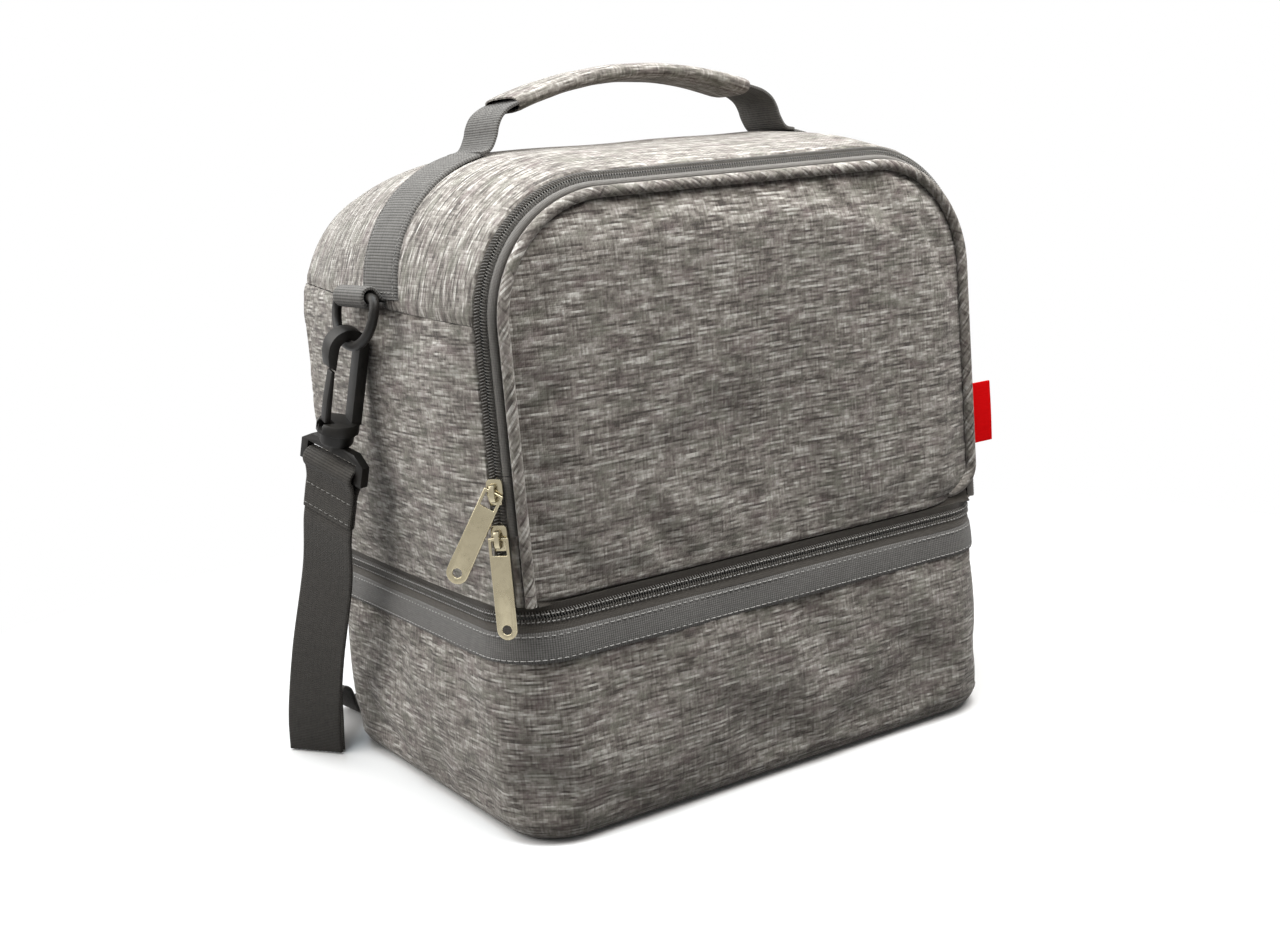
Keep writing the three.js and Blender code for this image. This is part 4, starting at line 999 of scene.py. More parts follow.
# %% [markdown]
# The heads of the two halves of a closed coil meet at the middle of the chain. One half is laid
# half a pitch further along than the other, so their turns lock between each other.

# %% Coils of the arched zip
COIL_PITCH = 1.2 * MM
COIL_WIRE = 0.25 * MM
COIL_ROOT = 2.5 * MM
COIL_HEAD = 0.05 * MM
COIL_RISE = 0.9 * MM
CHAIN_ALONG = 4 * MM


def coil(name, routes, way, body, *nodes):
    """Turns from a root at one side of the chain, over the top, to a head at its middle."""
    bend = (
        (way * COIL_ROOT, -0.3 * COIL_PITCH, -0.1 * MM),
        (way * (COIL_ROOT + COIL_HEAD) / 2, 0, 2 * COIL_RISE),
        (way * COIL_HEAD, 0.3 * COIL_PITCH, 0.5 * MM),
    )
    return turns(name, routes, COIL_PITCH, bend, COIL_WIRE, body, "coil_nylon", *nodes)


def chain_route(start, end):
    runs = np.linspace(start, end, max(8, int(abs(end - start) / (2 * MM))))
    _, _, nx, nz = arch_stations(runs)
    ways = points(nx * DIAGONAL, -DIAGONAL, nz * DIAGONAL)
    return on_arch(runs, *on_bevel(CHAIN_ALONG, 0.0)), ways


parked = chain_route(-zip_foot_run + COIL_PITCH / 2, -zone_run - COIL_PITCH)
foot = chain_route(flap_foot_run + COIL_PITCH, zip_foot_run)
whole = chain_route(-zip_foot_run, zip_foot_run)
opened = chain_route(-zone_run + COIL_PITCH / 2, flap_foot_run)
gusset_coil = coil("arch_coil_gusset", [whole], -1, "upper", "arch_zip_coil")
flap_coil = coil("arch_coil_flap", [opened], 1, "flap", "flap_zip_coil")
coil("arch_coil_parked", [parked, foot], 1, "upper")
print("coils:", len(gusset_coil.data.polygons), len(flap_coil.data.polygons), "faces")

# %% [markdown]
# ## Base compartment
# The base is a deep tray with round corners. Its cloth is one strip that runs all round, so the
# grid wraps: rows go round the plan, columns go up from the middle of the floor, round the bottom
# edge and up the wall. The wall is pressed out by the foam between the floor and the band.

# %% Outline in plan
PLAN_STEPS = 260
CORNERS = ((-1, 1, 90), (-1, -1, 180), (1, -1, 270), (1, 1, 0))


def evenly(path, count):
    """Points that are evenly spaced along a path."""
    length = lengths_along(path)
    at = np.linspace(0, length[-1], count)
    return np.stack([np.interp(at, length, column) for column in path.T], -1)


def plan_outline(half_x, half_y, radii):
    """Points and outward directions round a plan, and its length; radii from the back left."""
    arcs = []
    for (sx, sy, start), radius in zip(CORNERS, radii):
        angle = np.radians(np.linspace(start, start + 90, 24))
        middle = np.array((sx * (half_x - radius), sy * (half_y - radius)))
        arcs.append(middle + radius * points(np.cos(angle), np.sin(angle)))
    outline = np.concatenate((*arcs, arcs[0][:1]))
    plan = evenly(outline, PLAN_STEPS + 1)[:-1]
    ahead = unit(np.roll(plan, -1, 0) - np.roll(plan, 1, 0))
    return plan, points(ahead[:, 1], -ahead[:, 0]), lengths_along(outline)[-1]


plan, plan_out, PLAN_LENGTH = plan_outline(HALF, BACK, (BASE_CORNER,) * 4)
wrap_run = np.linspace(0, PLAN_LENGTH, PLAN_STEPS + 1)[:, None]
ring_ways = points(*plan_out.T, 0)


def base_swell(z):
    return BASE_BULGE * np.sin(math.pi * np.clip(z, 0, BASE_TOP) / BASE_TOP)


def ring_grid(outs, heights):
    """A grid round the base from columns of distances out and heights."""
    x, y = (plan[:, k, None] + plan_out[:, k, None] * np.asarray(outs) for k in (0, 1))
    return points(x, y, heights)


print("round the base:", round(float(PLAN_LENGTH), 4), "m")

# %% Base cloth
FLOOR_LIFT = 0.2 * MM
BAND_HEIGHT = 13 * MM
turn = np.linspace(0, QUARTER, 10)
wall = np.linspace(BASE_FILLET, BASE_TOP, 30)[1:]
outs = np.concatenate((mm(-60, -30), -BASE_FILLET * (1 - np.sin(turn)), 0 * wall))
fillet = FLOOR_LIFT + (BASE_FILLET - FLOOR_LIFT) * (1 - np.cos(turn))
heights = np.concatenate(([FLOOR_LIFT] * 2, fillet, wall))
outs = np.append(outs + base_swell(heights) * (heights > FLOOR_LIFT), mm(-1.0, -1.4))
heights = np.append(heights, BASE_TOP + mm(0.1, -4))
grid = ring_grid(outs, heights)
wall_share = fade(heights - 4 * MM, 20 * MM) * fade(BASE_TOP - heights, 16 * MM)
lift = 0.6 * MM * undulation(grid, 66 * MM, 51) * wall_share
from_band = np.abs(heights - (BASE_TOP - 14 * MM))
gathers = pucker(from_band, grid[..., 0] - grid[..., 1], 10 * MM, 52)
lift += 0.3 * MM * gathers * (heights < BASE_TOP - BAND_HEIGHT)
grid = soften(grid, lift, wrap=True)
pinned = (heights < 8 * MM) | (heights > BASE_TOP - 12 * MM)
pinned = np.broadcast_to(pinned, grid.shape[:2])
grid = settle(grid, pinned, pressure=0.8, spare=0.008, cap=1.4 * MM, wrap=True)
cloth = points(wrap_run, lengths_along(points(outs, heights)))
sew("base_melange", grid, cloth, "base", "grey_melange", "base_shell", wrap=True)
print("base cloth of", grid.shape[:2], "points")

# %% Floor of the base cloth
# The wrapped wall leaves an opening in the middle of the floor; one flat patch is sewn over it.
def floor_patch(inset, columns, rows):
    """x and y of a level grid, set in from the walls of the base."""
    half_x, half_y = HALF - inset, BACK - inset
    return np.linspace(-half_x, half_x, columns)[:, None], np.linspace(-half_y, half_y, rows)


x, y = floor_patch(40 * MM, 24, 18)
patch = points(x, y, 0.9 * MM)
sew("base_floor_melange", patch, points(x, y), "base", "grey_melange", thick=0.3 * MM)
print("floor patch of", patch.shape[:2], "points")

# %% [markdown]
# A grosgrain band binds the top of the base, and a zip runs above it from one back corner round
# the front to the other. Both follow the plan outline.

# %% Band and base zip
band_z = BASE_TOP - BAND_HEIGHT + mm(0, 0.4, 1.2, 3, 6, 9, 11.6, 12.5, 13.0)
band_out = base_swell(band_z) + mm(0.5, 1.0, 1.25, 1.35, 1.4, 1.35, 1.25, 1.0, 0.5)
grid = ring_grid(band_out, band_z)
grid = soften(grid, 0.18 * MM * undulation(grid, 30 * MM, 61), wrap=True)
sew(
    "base_band", grid, points(wrap_run, band_z - band_z[0]), "base", "band_grosgrain",
    "binding_band", thick=0.7 * MM, wrap=True,
)

on_hinge = (plan[:, 1] > BACK - 0.5 * MM) & (np.abs(plan[:, 0]) < HALF - BASE_CORNER)
zipped = np.flatnonzero(~on_hinge)
zip_run = np.arange(len(zipped))[:, None] * PLAN_LENGTH / PLAN_STEPS
chain, zip_ways = points(*plan[zipped].T, ZIP_HEIGHT), ring_ways[zipped]
TAPE_RISE = mm(0.5, 1.6, 2.8, 4.2, 5.6)
# The upper tape takes the darker finish: the tape's colour with painted shade from the wall that overhangs it. The
# lower tape keeps the tape's own colour.
for name, body, way, finish, outs in (
    ("lower", "base", 1, "lower_tape", mm(-0.3, 0.1, 0.5, 0.9, 1.0)),
    ("upper", "upper", -1, "base_tape", mm(-0.6, -0.4, -0.1, 0.2, 0.4)),
):
    heights = ZIP_HEIGHT - way * TAPE_RISE
    grid = ring_grid(outs, heights)[zipped]
    cloth = points(zip_run, lengths_along(points(outs, heights)))
    sew(f"base_tape_{name}", grid, cloth, body, finish, f"base_zip_tape_{name}", thick=TAPE)
    path = chain.copy()
    if way < 0:
        path[0] += (chain[1] - chain[0]) * 0.25
    coil(f"base_coil_{name}", [(path, zip_ways)], way, body, f"base_zip_coil_{name}")
print("base zip", round(float(zip_run[-1, 0]), 3), "m")

# %% Underside of the upper walls
# The walls stand out over the zip's rounder corners, so a narrow strip closes them from below.
FRONT_CORNER = 19 * MM
wall_radii = (EDGE, FRONT_CORNER, FRONT_CORNER, EDGE)
wall_plan = plan_outline(HALF - GAP, BACK - GAP, wall_radii)[0]
inner_plan = plan - plan_out * MM
for edge, inset in ((wall_plan, 2.5 * MM), (inner_plan, 4.5 * MM)):
    edge[:, 1] = np.maximum(edge[:, 1], FRONT + inset)
share = np.linspace(0, 1, 4)[:, None]
level = inner_plan[:, None] * (1 - share) + wall_plan[:, None] * share
rim = points(level[..., 0], level[..., 1], PANEL_FOOT + GAP)
cloth = np.concatenate((level, level[:1]))
sew("upper_underside_melange", rim, cloth, "upper", "grey_melange", thick=0.4 * MM, wrap=True)
print("underside strip of", rim.shape[:2], "points")

# %% [markdown]
# ## Sill and hinge
# A narrow strip under the flap carries its lower edge. At the back, where the zip ends, a strip of cloth is the
# hinge between the compartments.

# %% Sill and back hinge
x = np.linspace(-HALF + 12 * MM, HALF - EDGE, 80)[:, None]
y, z = FRONT + mm(0.9, 2.4, 2.9, 3.2), mm(100.0, 101.5, 103.0, 104.9)
sill, cloth = points(x, y, z), points(x, z)
# The sill is given the darker tape finish, whose colour carries painted shade under the flap's edge.
sew("sill_tape_painted_shade", sill, cloth, "upper", "base_tape", "front_sill", thick=0.6 * MM)

x = np.linspace(-HALF + BASE_CORNER, HALF - BASE_CORNER, 60)[:, None]
z = np.linspace(89.0, 101.2, 16) * MM
y = BACK + 0.2 * MM + 0.7 * MM * np.sin(math.pi * (z - z[0]) / np.ptp(z))
hinge = sew(
    "back_hinge_melange", points(x, y, z), points(x, z), None, "grey_melange", "back_hinge",
    thick=0.8 * MM,
)
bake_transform(hinge)
print("hinge", round(float(np.ptp(z)), 4), "m deep")

# %% [markdown]
# ## Linings
# Inside, a silvered film covers the foam. Its edges fold over the foam to the outer cloth, so each
# lining piece stands for a layer of foam and its film together.

# %% Lining of the upper compartment
FILM = 0.3 * MM
FILM_UNDER = 6.0 * MM
FLAP_FILM_EDGE = 4.4 * MM
INNER_FOOT = 104.8 * MM


def sew_film(name, grid, cloth, body, *nodes, thick=FILM, wrap=False):
    sew(name, grid, cloth, body, "silver_film", *nodes, thick=thick, wrap=wrap)


film_run = np.linspace(-arch_run(INNER_FOOT), arch_run(INNER_FOOT), 130)[:, None]
depth = np.append(mm(-82.2, -81.2, -80.4), np.linspace(-79.0 * MM, 88.6 * MM, 44))
under = np.append(mm(1.2, 3.0, 5.0), np.full(44, FILM_UNDER))
grid = on_arch(film_run, gusset_out(film_run, depth) - under, depth)
crease = 0.35 * MM * undulation(grid, 22 * MM, 71) * (under == FILM_UNDER)
grid = soften(grid, np.maximum(crease, -0.2 * MM))
cloth = points(film_run, depth)
sew_film("upper_film", grid, cloth, "upper", "gusset_foam", "gusset_lining")

x, z, _ = arch_panel(FILM_UNDER + GAP, INNER_FOOT, 60)
y = BACK - FILM_UNDER + 0.3 * MM * undulation(points(x, 0, z), 24 * MM, 72)
sew_film("back_film", points(x, y, z), points(x, z), "upper", "back_foam", "back_lining")

x, z, gap = arch_panel(PANEL_INSET + 0.8 * MM, FLAP_FOOT + 0.6 * MM, 70, FLAP_CORNER)
folded = fade(gap, 4 * MM)
y = FRONT + FLAP_FILM_EDGE + (FILM_UNDER - FLAP_FILM_EDGE) * np.sin(folded * QUARTER)
y = y + 0.3 * MM * undulation(points(x, 0, z), 24 * MM, 73) * folded
sew_film("flap_film", points(x, y, z), points(x, z), "flap", "flap_foam", "flap_lining")
print("upper linings sewn")

# %% Lining of the base
FILM_FLOOR = 7.7 * MM
FILM_FILLET = 4 * MM
turn = np.linspace(0, QUARTER, 6)
outs = np.concatenate((
    mm(-1.2, -3.0, -5.2),
    np.full(14, -FILM_UNDER),
    -FILM_UNDER - FILM_FILLET * (1 - np.cos(turn)),
    mm(-26, -55),
))
heights = np.concatenate((
    BASE_TOP + mm(-0.4, 0.0, -0.4),
    np.linspace(BASE_TOP - 2 * MM, FILM_FLOOR + FILM_FILLET + 2 * MM, 14),
    FILM_FLOOR + FILM_FILLET * (1 - np.sin(turn)),
    [FILM_FLOOR] * 2,
))
outs = outs + base_swell(heights) * (heights > 12 * MM)
grid = ring_grid(outs, heights)
crease = 0.3 * MM * undulation(grid, 22 * MM, 74) * (np.arange(len(outs)) > 2)
grid = soften(grid, crease, wrap=True)
cloth = points(wrap_run, lengths_along(points(outs, heights)))
sew_film("base_film", grid, cloth, "base", "base_foam", "base_lining", wrap=True)
x, y = floor_patch(50 * MM, 30, 20)
z = FILM_FLOOR + 0.1 * MM + 0.15 * MM * undulation(points(x, y, 0), 22 * MM, 75)
sew_film("base_floor_film", points(x, y, z), points(x, y), "base", thick=0.2 * MM)
board = frame["nodes"]["base_board"].data.materials
board.clear()
board.append(finishes["board_grey"])
print("base lining", round(float(heights.max()), 4), "m tall")

# %% Padded divider
QUILT = 34 * MM
rings = mm(6.5, 6.9, 7.9, 9.5, 12, 17, 24, 33, 44, 56, 68, 80, 94.8)
low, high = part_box("divider_floor")
x, y = plan[:, :1] * (1 - rings / HALF), plan[:, 1:] * (1 - rings / BACK)
quilt = np.abs(np.sin(math.pi * (x + y) / QUILT) * np.sin(math.pi * (x - y) / QUILT))
edge = 0.25 + 0.75 * np.sqrt(fade(rings - rings[0], 3 * MM))
puff = (high.z - low.z) / 2 * (0.72 + 0.28 * quilt**0.35) * edge
top, under = (points(x, y, (low.z + high.z) / 2 + way * puff) for way in (1, -1))
divider = sewn("divider_pad", top, under, points(wrap_run, rings), True)
place(divider, "upper", "silver_film", "divider_floor")
print("divider", round(high.z - low.z, 4), "m thick")

# %% [markdown]
# ## Webbing pieces
# A webbing piece is a ribbon along a path, with its width in a given direction. Its ribs are real
# shape: the section has a small wave across the width, and thins at the selvedges.

# %% Ribbon helpers
WEB_WIDTH = 30 * MM
WEB_THICK = 1.6 * MM
RIB = 2.4 * MM
RIB_RISE = 0.10 * MM
SELVEDGE = 0.8 * MM
SELVEDGE_SHARE = 0.55  # of the thickness, left at the edge
ACROSS_Y = np.array((0, 1.0, 0))


def between(a, b, start, end, at):
    return (end - at) / (end - start) * a + (at - start) / (end - start) * b


def smooth_route(places, count):
    """A centripetal curve through given points, sampled evenly along its length."""
    p = np.asarray(places, float)
    p = np.concatenate((2 * p[:1] - p[1:2], p, 2 * p[-1:] - p[-2:-1]))
    knots = np.append(0, np.cumsum(np.linalg.norm(np.diff(p, axis=0), axis=1) ** 0.5))
    fine = []
    for i in range(1, len(p) - 2):
        t0, t1, t2, t3 = knots[i - 1 : i + 3]
        t = np.linspace(t1, t2, 24, endpoint=i == len(p) - 3)[:, None]
        a1 = between(p[i - 1], p[i], t0, t1, t)
        a2 = between(p[i], p[i + 1], t1, t2, t)
        a3 = between(p[i + 1], p[i + 2], t2, t3, t)
        b1, b2 = between(a1, a2, t0, t2, t), between(a2, a3, t1, t3, t)
        fine.append(between(b1, b2, t1, t2, t))
    return evenly(np.concatenate(fine), count)


def folded_end(first, middle, radius, turn, last):
    """Two columns of a fold: one leg, a turn about a middle, and the other leg."""
    arc = middle + radius * points(np.cos(turn), np.sin(turn))
    return np.concatenate((first, arc, last)).T


def mirrored(places, way):
    """Points set out for the left side, for the side that way gives: -1 left, 1 right."""
    return np.asarray(places) * np.array((-way, 1, 1))


def ribbon(
    name, path, across, width=WEB_WIDTH, thickness=WEB_THICK, rib=RIB, start=0.0, columns=51
):
    """Webbing along a path; across is its width's direction, one for all or one per point."""
    across = unit(np.broadcast_to(across, path.shape))
    normal = unit(np.cross(across, np.gradient(path, axis=0)))
    place_across = np.linspace(-width / 2, width / 2, columns)
    edge = fade(width / 2 - np.abs(place_across), SELVEDGE)
    half = thickness / 2 * (SELVEDGE_SHARE + (1 - SELVEDGE_SHARE) * np.sqrt(edge))
    half = half + RIB_RISE * np.cos(CIRCLE * place_across / rib) * edge
    middle = path[:, None] + across[:, None] * place_across[:, None]
    shift = normal[:, None] * half[:, None]
    cloth = points(start + lengths_along(path)[:, None], place_across)
    return sewn(name, middle + shift, middle - shift, cloth)


# %% Handle strips
HANDLE_Y = -8 * MM
HANDLE_HALF = 72 * MM
STRIP_SLANT = 10 * MM
SEWN_INSET, SEWN_WIDTH, SEWN_DEPTH = 2.2 * MM, 0.8 * MM, 0.55 * MM
SEWN_COLUMNS = (4, 46)
SEWN_ROWS = (3, -4)
strip_foot = arch_run(SEAM_HEIGHT + 0.8 * MM)
strip_head = HANDLE_HALF + 8 * MM
columns = np.linspace(-WEB_WIDTH / 2, WEB_WIDTH / 2, 51)
inset = WEB_WIDTH / 2 - np.abs(columns)
edge = fade(inset, 0.9 * MM)
relief = RIB_RISE * np.cos(CIRCLE * columns / RIB) * edge
relief = relief - SEWN_DEPTH * bell(inset, SEWN_INSET, SEWN_WIDTH)
share = np.linspace(1, 0, 90)[:, None]
y = HANDLE_Y - STRIP_SLANT * share**2 + columns
strip_rows = []
for name, way in SIDES:
    run = way * (strip_head + share * (strip_foot - strip_head))
    bed = gusset_out(run, y) + GAP + relief
    face, under = (
        on_arch(run, bed + lift * (0.6 + 0.4 * edge), y) for lift in (WEB_THICK, 0.2 * MM)
    )
    strip = sewn(f"handle_strip_{name}_web", face, under, points(np.abs(run), columns))
    place(strip, "upper", "handle_webbing", f"handle_strip_{name}")
    ways = grid_normals(face)
    strip_rows += [(face[2:-2, column], ways[2:-2, column]) for column in SEWN_COLUMNS]
    across = slice(SEWN_COLUMNS[0], SEWN_COLUMNS[1] + 1)
    strip_rows += [(face[row, across], ways[row, across]) for row in SEWN_ROWS]
print("handle strips sewn over the gusset")

# %% Handle legs
# Each leg goes on from its strip: it lifts off the gusset, turns up and leans in to the grip. The left leg is cut
# below the grip, and its head is a length of its own that goes on into the sleeve.
LEG_LEAN = 15 * MM
LEG_RISE = 18 * MM
LEG_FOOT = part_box("handle_leg_left")[0].z + WEB_THICK / 2
LEG_START = 4
LEG_CUT = 24
LEG_RIGHT_END = 55
LEG_HEAD_END = 46
leg_turn = np.array((strip_head, strip_head - 4 * MM))
leg_out = gusset_out(leg_turn, HANDLE_Y) + GAP + WEB_THICK / 2 + mm(0, 0.5)
leg_x = HANDLE_HALF + mm(2.0, 0.6, -1.8, -6.5, -14.0, -22.0)
leg_z = LEG_FOOT + mm(3.4, 7.6, 11.6, 15.0, 17.5, 20.0)
leg_bend = points(leg_x, HANDLE_Y, leg_z)
leg_path = smooth_route(np.concatenate((on_arch(leg_turn, leg_out, HANDLE_Y), leg_bend)), 64)
for (name, way), last in zip(SIDES, (LEG_CUT, LEG_RIGHT_END)):
    path = mirrored(leg_path, -way)
    leg = ribbon(f"handle_leg_{name}_web", path[: last + 1], ACROSS_Y)
    place(leg, None, "handle_webbing", f"handle_leg_{name}")
    start, end = tuple(path[LEG_START]), tuple(path[LEG_CUT - 2])
    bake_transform(leg)
path = mirrored(leg_path, 1)
cut = float(lengths_along(path)[LEG_CUT])
leg_head = ribbon("handle_leg_left_head_web", path[LEG_CUT:], ACROSS_Y, start=cut)
place(leg_head, None, "handle_webbing")
start, end = tuple(path[LEG_CUT + 2]), tuple(path[LEG_HEAD_END])
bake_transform(leg_head)
print("handle legs, foot at", round(LEG_FOOT, 4))

# %% [markdown]
# The grip is a flat sleeve of melange pulled over the webbing. It arches between the legs, its
# cloth is slack across it and shows a few soft rings, and its mouths are turned in.

# %% Grip sleeve
GRIP_HALF = HANDLE_HALF - LEG_LEAN - WEB_THICK / 2 - GAP
SLEEVE_LEFT = -GRIP_HALF - 6 * MM
SLEEVE_RIGHT = GRIP_HALF + 2 * MM
SLEEVE_WIDTH = WEB_WIDTH + 1.8 * MM
SLEEVE_CLOTH = 0.7 * MM
GRIP_ARCH = 9 * MM
GRIP_THICK = 7.5 * MM
GRIP_END = LEG_FOOT + LEG_RISE
CORE_HALF = 47 * MM
MOUTH_SHARE = 0.95  # of the section, left at a mouth
GRIP_CLOTH = 1.0  # the sleeve is cut from another place of the cloth


def grip_line(x):
    """Height of the grip's middle, and the direction that it faces."""
    share = x / GRIP_HALF
    slope = -2 * GRIP_ARCH * share / GRIP_HALF
    steep = np.sqrt(1 + slope * slope)
    return GRIP_END + GRIP_ARCH * (1 - share * share), -slope / steep, 1 / steep


def squared(wave, power):
    """A sine or cosine pushed out towards the corners of its section."""
    return np.sign(wave) * np.abs(wave) ** power


grip_x = np.linspace(SLEEVE_LEFT, SLEEVE_RIGHT, 72)
angles = np.linspace(0, CIRCLE, 41)[:, None]
section_y = squared(np.cos(angles), 0.55) * SLEEVE_WIDTH / 2
section_z = squared(np.sin(angles), 0.8) * GRIP_THICK / 2
grip_z, lean, rise = grip_line(grip_x)
to_mouth = np.minimum(grip_x - SLEEVE_LEFT, SLEEVE_RIGHT - grip_x)
shrink = MOUTH_SHARE + (1 - MOUTH_SHARE) * np.sqrt(fade(to_mouth, 2.0 * MM))
slack = 0.16 * MM * undulation(points(grip_x, 0, grip_z), 13 * MM, 81) * np.sign(section_z)


def grip_surface(sink, slack):
    y = section_y * shrink * (1 - 2 * sink / SLEEVE_WIDTH)
    tall = section_z * shrink * (1 - 2 * sink / GRIP_THICK) + slack
    return points(grip_x + lean * tall, HANDLE_Y + y, grip_z + rise * tall)[:-1]


around = lengths_along(np.hstack((section_y, section_z)))[:, None]
sleeve = sewn(
    "grip_sleeve_melange",
    grip_surface(0.0, slack),
    grip_surface(SLEEVE_CLOTH, 0),
    points(grip_x + GRIP_CLOTH, around),
    wrap=True,
)
place(sleeve, "handle_grip", "grey_melange", "grip_sleeve")
core_x = np.linspace(-CORE_HALF, CORE_HALF, 40)
core_path = points(core_x, HANDLE_Y, grip_line(core_x)[0])
core = ribbon("grip_core_web", core_path, ACROSS_Y, 22 * MM, 3.0 * MM)
place(core, "handle_grip", "handle_webbing", "grip_core")
print("grip", round(SLEEVE_RIGHT - SLEEVE_LEFT, 4), "m between its mouths")

# %% [markdown]
# ## Moulded and cast pieces
# Rings, hooks, frames, sliders and pulls are hard, and the rigid model already has their shapes.
# Real mouldings have no knife edges, so a merged copy of each solid gets its edges rounded.

# %% Rounded copies of the hard pieces
FLAT_ANGLE, BEVEL_ANGLE, SHARP_ANGLE = np.radians((1.5, 38, 48)).tolist()
bodies = frame["record"]["behaviour"]["bodies"]
node_body = {node: body for body, members in bodies.items() for node in members}


def moulded(node, finish, radius, segments=3):
    """A copy of a hard solid, with rounded edges or, without a radius, all smooth."""
    mesh = bpy.data.meshes.new(f"{node}_moulded")
    work = bmesh.new()
    work.from_mesh(frame["nodes"][node].data)
    bmesh.ops.remove_doubles(work, verts=work.verts, dist=0.005 * MM)
    if radius:
        bmesh.ops.dissolve_limit(
            work, angle_limit=FLAT_ANGLE, verts=work.verts, edges=work.edges
        )
    work.to_mesh(mesh)
    work.free()
    piece = new_object(mesh.name, mesh)
    if radius:
        edges = piece.modifiers.new("edges", "BEVEL")
        edges.width, edges.segments = radius, segments
        edges.limit_method, edges.angle_limit = "ANGLE", BEVEL_ANGLE
    else:
        smooth = piece.modifiers.new("smooth", "SUBSURF")
        smooth.levels = smooth.render_levels = 2
    keep_shape(piece)
    piece.data.set_sharp_from_angle(angle=SHARP_ANGLE)
    place(piece, node_body[node], finish, node)


for side, _ in SIDES:
    moulded(f"strap_ring_{side}", "black_plastic", 0)
    moulded(f"snap_hook_{side}", "black_plastic", 1.0 * MM)
    moulded(f"hook_gate_{side}", "black_plastic", 0.5 * MM)
    moulded(f"swivel_frame_{side}", "black_plastic", 0.9 * MM)
moulded("strap_adjuster", "black_plastic", 0.6 * MM)
for node in ("first", "second", "base"):
    moulded(f"{node}_slider", "aged_brass", 0.25 * MM, 2)
    moulded(f"{node}_pull", "aged_brass", 0.45 * MM)
print("hard pieces rounded")

# %% [markdown]
# ## Shoulder strap
# The strap hangs from a swivel hook at each side. Its end is folded round the bar of the swivel
# frame and sewn to itself; the strap then hangs, twists a little towards the back, meets the floor
# behind the bag and runs across to the other side through a ladder adjuster.

# %% Where the left hook hangs
HOOK_DOWN = unit((-0.1, 0.3, -0.95))
STRAP_FACING = np.array((0.32, -0.95, 0))
BAR_DROP = 58.3 * MM
STRAP_DROP = 81.73 * MM
EYE = 3.93 * MM
STRAP_TAIL = 20 * MM


def joint_place(name):
    return next(np.array(joint["pos_m"]) for joint in frame["joints"] if joint["name"] == name)


hook_top = joint_place("hook_swivel_left")
bar, strap_top = (hook_top + HOOK_DOWN * drop for drop in (BAR_DROP, STRAP_DROP))
frame_x = unit(STRAP_FACING - STRAP_FACING @ HOOK_DOWN * HOOK_DOWN)
frame_y = np.cross(-HOOK_DOWN, frame_x)
print("the strap's bar at", [round(float(c), 4) for c in bar])

# %% Sewn strap ends
LAYER = 0.85 * MM  # from the middle of the folded end to each of its two layers
turn = np.radians(np.linspace(-50, 230, 30))
tail_z = np.array((-EYE - STRAP_TAIL + 0.5 * MM, -EYE - 10 * MM, -EYE - 5 * MM))
front_leg, back_leg = points(LAYER, tail_z), points(-LAYER, tail_z[::-1])
eye_y, eye_z = folded_end(front_leg, (0, 0), EYE, turn, back_leg)
eye_path = bar + eye_y[:, None] * frame_y - eye_z[:, None] * HOOK_DOWN
eye_path = evenly(smooth_route(eye_path, 160), 110)
row = np.linspace(-13, 13, 40)[:, None] * MM * frame_x
strap_rows = {}
for side, way in SIDES:
    end = ribbon(f"strap_end_{side}_web", mirrored(eye_path, way), mirrored(frame_x, way))
    place(end, f"swivel_{side}", "strap_webbing", f"strap_end_{side}")
    strap_rows[side] = [
        (mirrored(bar + HOOK_DOWN * (EYE + drop) + facing * 2 * LAYER + row, way),
         mirrored(facing, way))
        for drop in mm(8.0, 17.5)
        for facing in (frame_y, -frame_y)
    ]
print("strap ends folded round their bars")

# %% [markdown]
# The hanging part crosses three joints: the swivel, the ring and the hinge of the upper compartment. It is cut
# into three lengths that meet edge to edge, one across each joint.

# %% Hanging strap
FOLD = np.array((-HALF - 21 * MM, BACK - 9 * MM, 1.1 * MM))
FOLD_ACROSS = np.array((0.55, -0.83, 0))
DROP_CUTS = (0, 50, 108, 180)
BLEND_INSET = 0.12  # share of a length, set in from each end
drop_path = smooth_route(
    [
        strap_top,
        strap_top + HOOK_DOWN * 5 * MM,
        (FOLD[0] - 1.5 * MM, strap_top[1] + 17 * MM, 98 * MM),
        (FOLD[0] - 3.5 * MM, FOLD[1] - 28 * MM, 55 * MM),
        (FOLD[0] - 2.5 * MM, FOLD[1] - 10 * MM, 20 * MM),
        FOLD,
    ],
    DROP_CUTS[-1] + 1,
)
share = np.linspace(0, 1, len(drop_path))[:, None]
drop_across = frame_x * (1 - share) + FOLD_ACROSS * share
drop_length = lengths_along(drop_path)
for side, way in SIDES:
    joints = ((f"swivel_{side}", f"ring_{side}"), (f"ring_{side}", "upper"), ("upper", "base"))
    for part, (first, last, pair) in enumerate(zip(DROP_CUTS[:-1], DROP_CUTS[1:], joints)):
        path = mirrored(drop_path[first : last + 1], way)
        across = mirrored(drop_across[first : last + 1], way)
        start = float(drop_length[first])
        piece = ribbon(f"strap_drop_{side}_{part + 1}", path, across, start=start)
        nodes = (f"strap_drop_{side}",) if part == 0 else ()
        place(piece, None, "strap_webbing", *nodes)
        inset = BLEND_INSET * (path[-1] - path[0])
        tuple(path[0] + inset)
        tuple(path[-1] - inset)
        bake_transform(piece)
        flat = (WEB_WIDTH, float(drop_length[last]) - start)
print("hanging strap", round(float(drop_length[-1]), 3), "m each side")

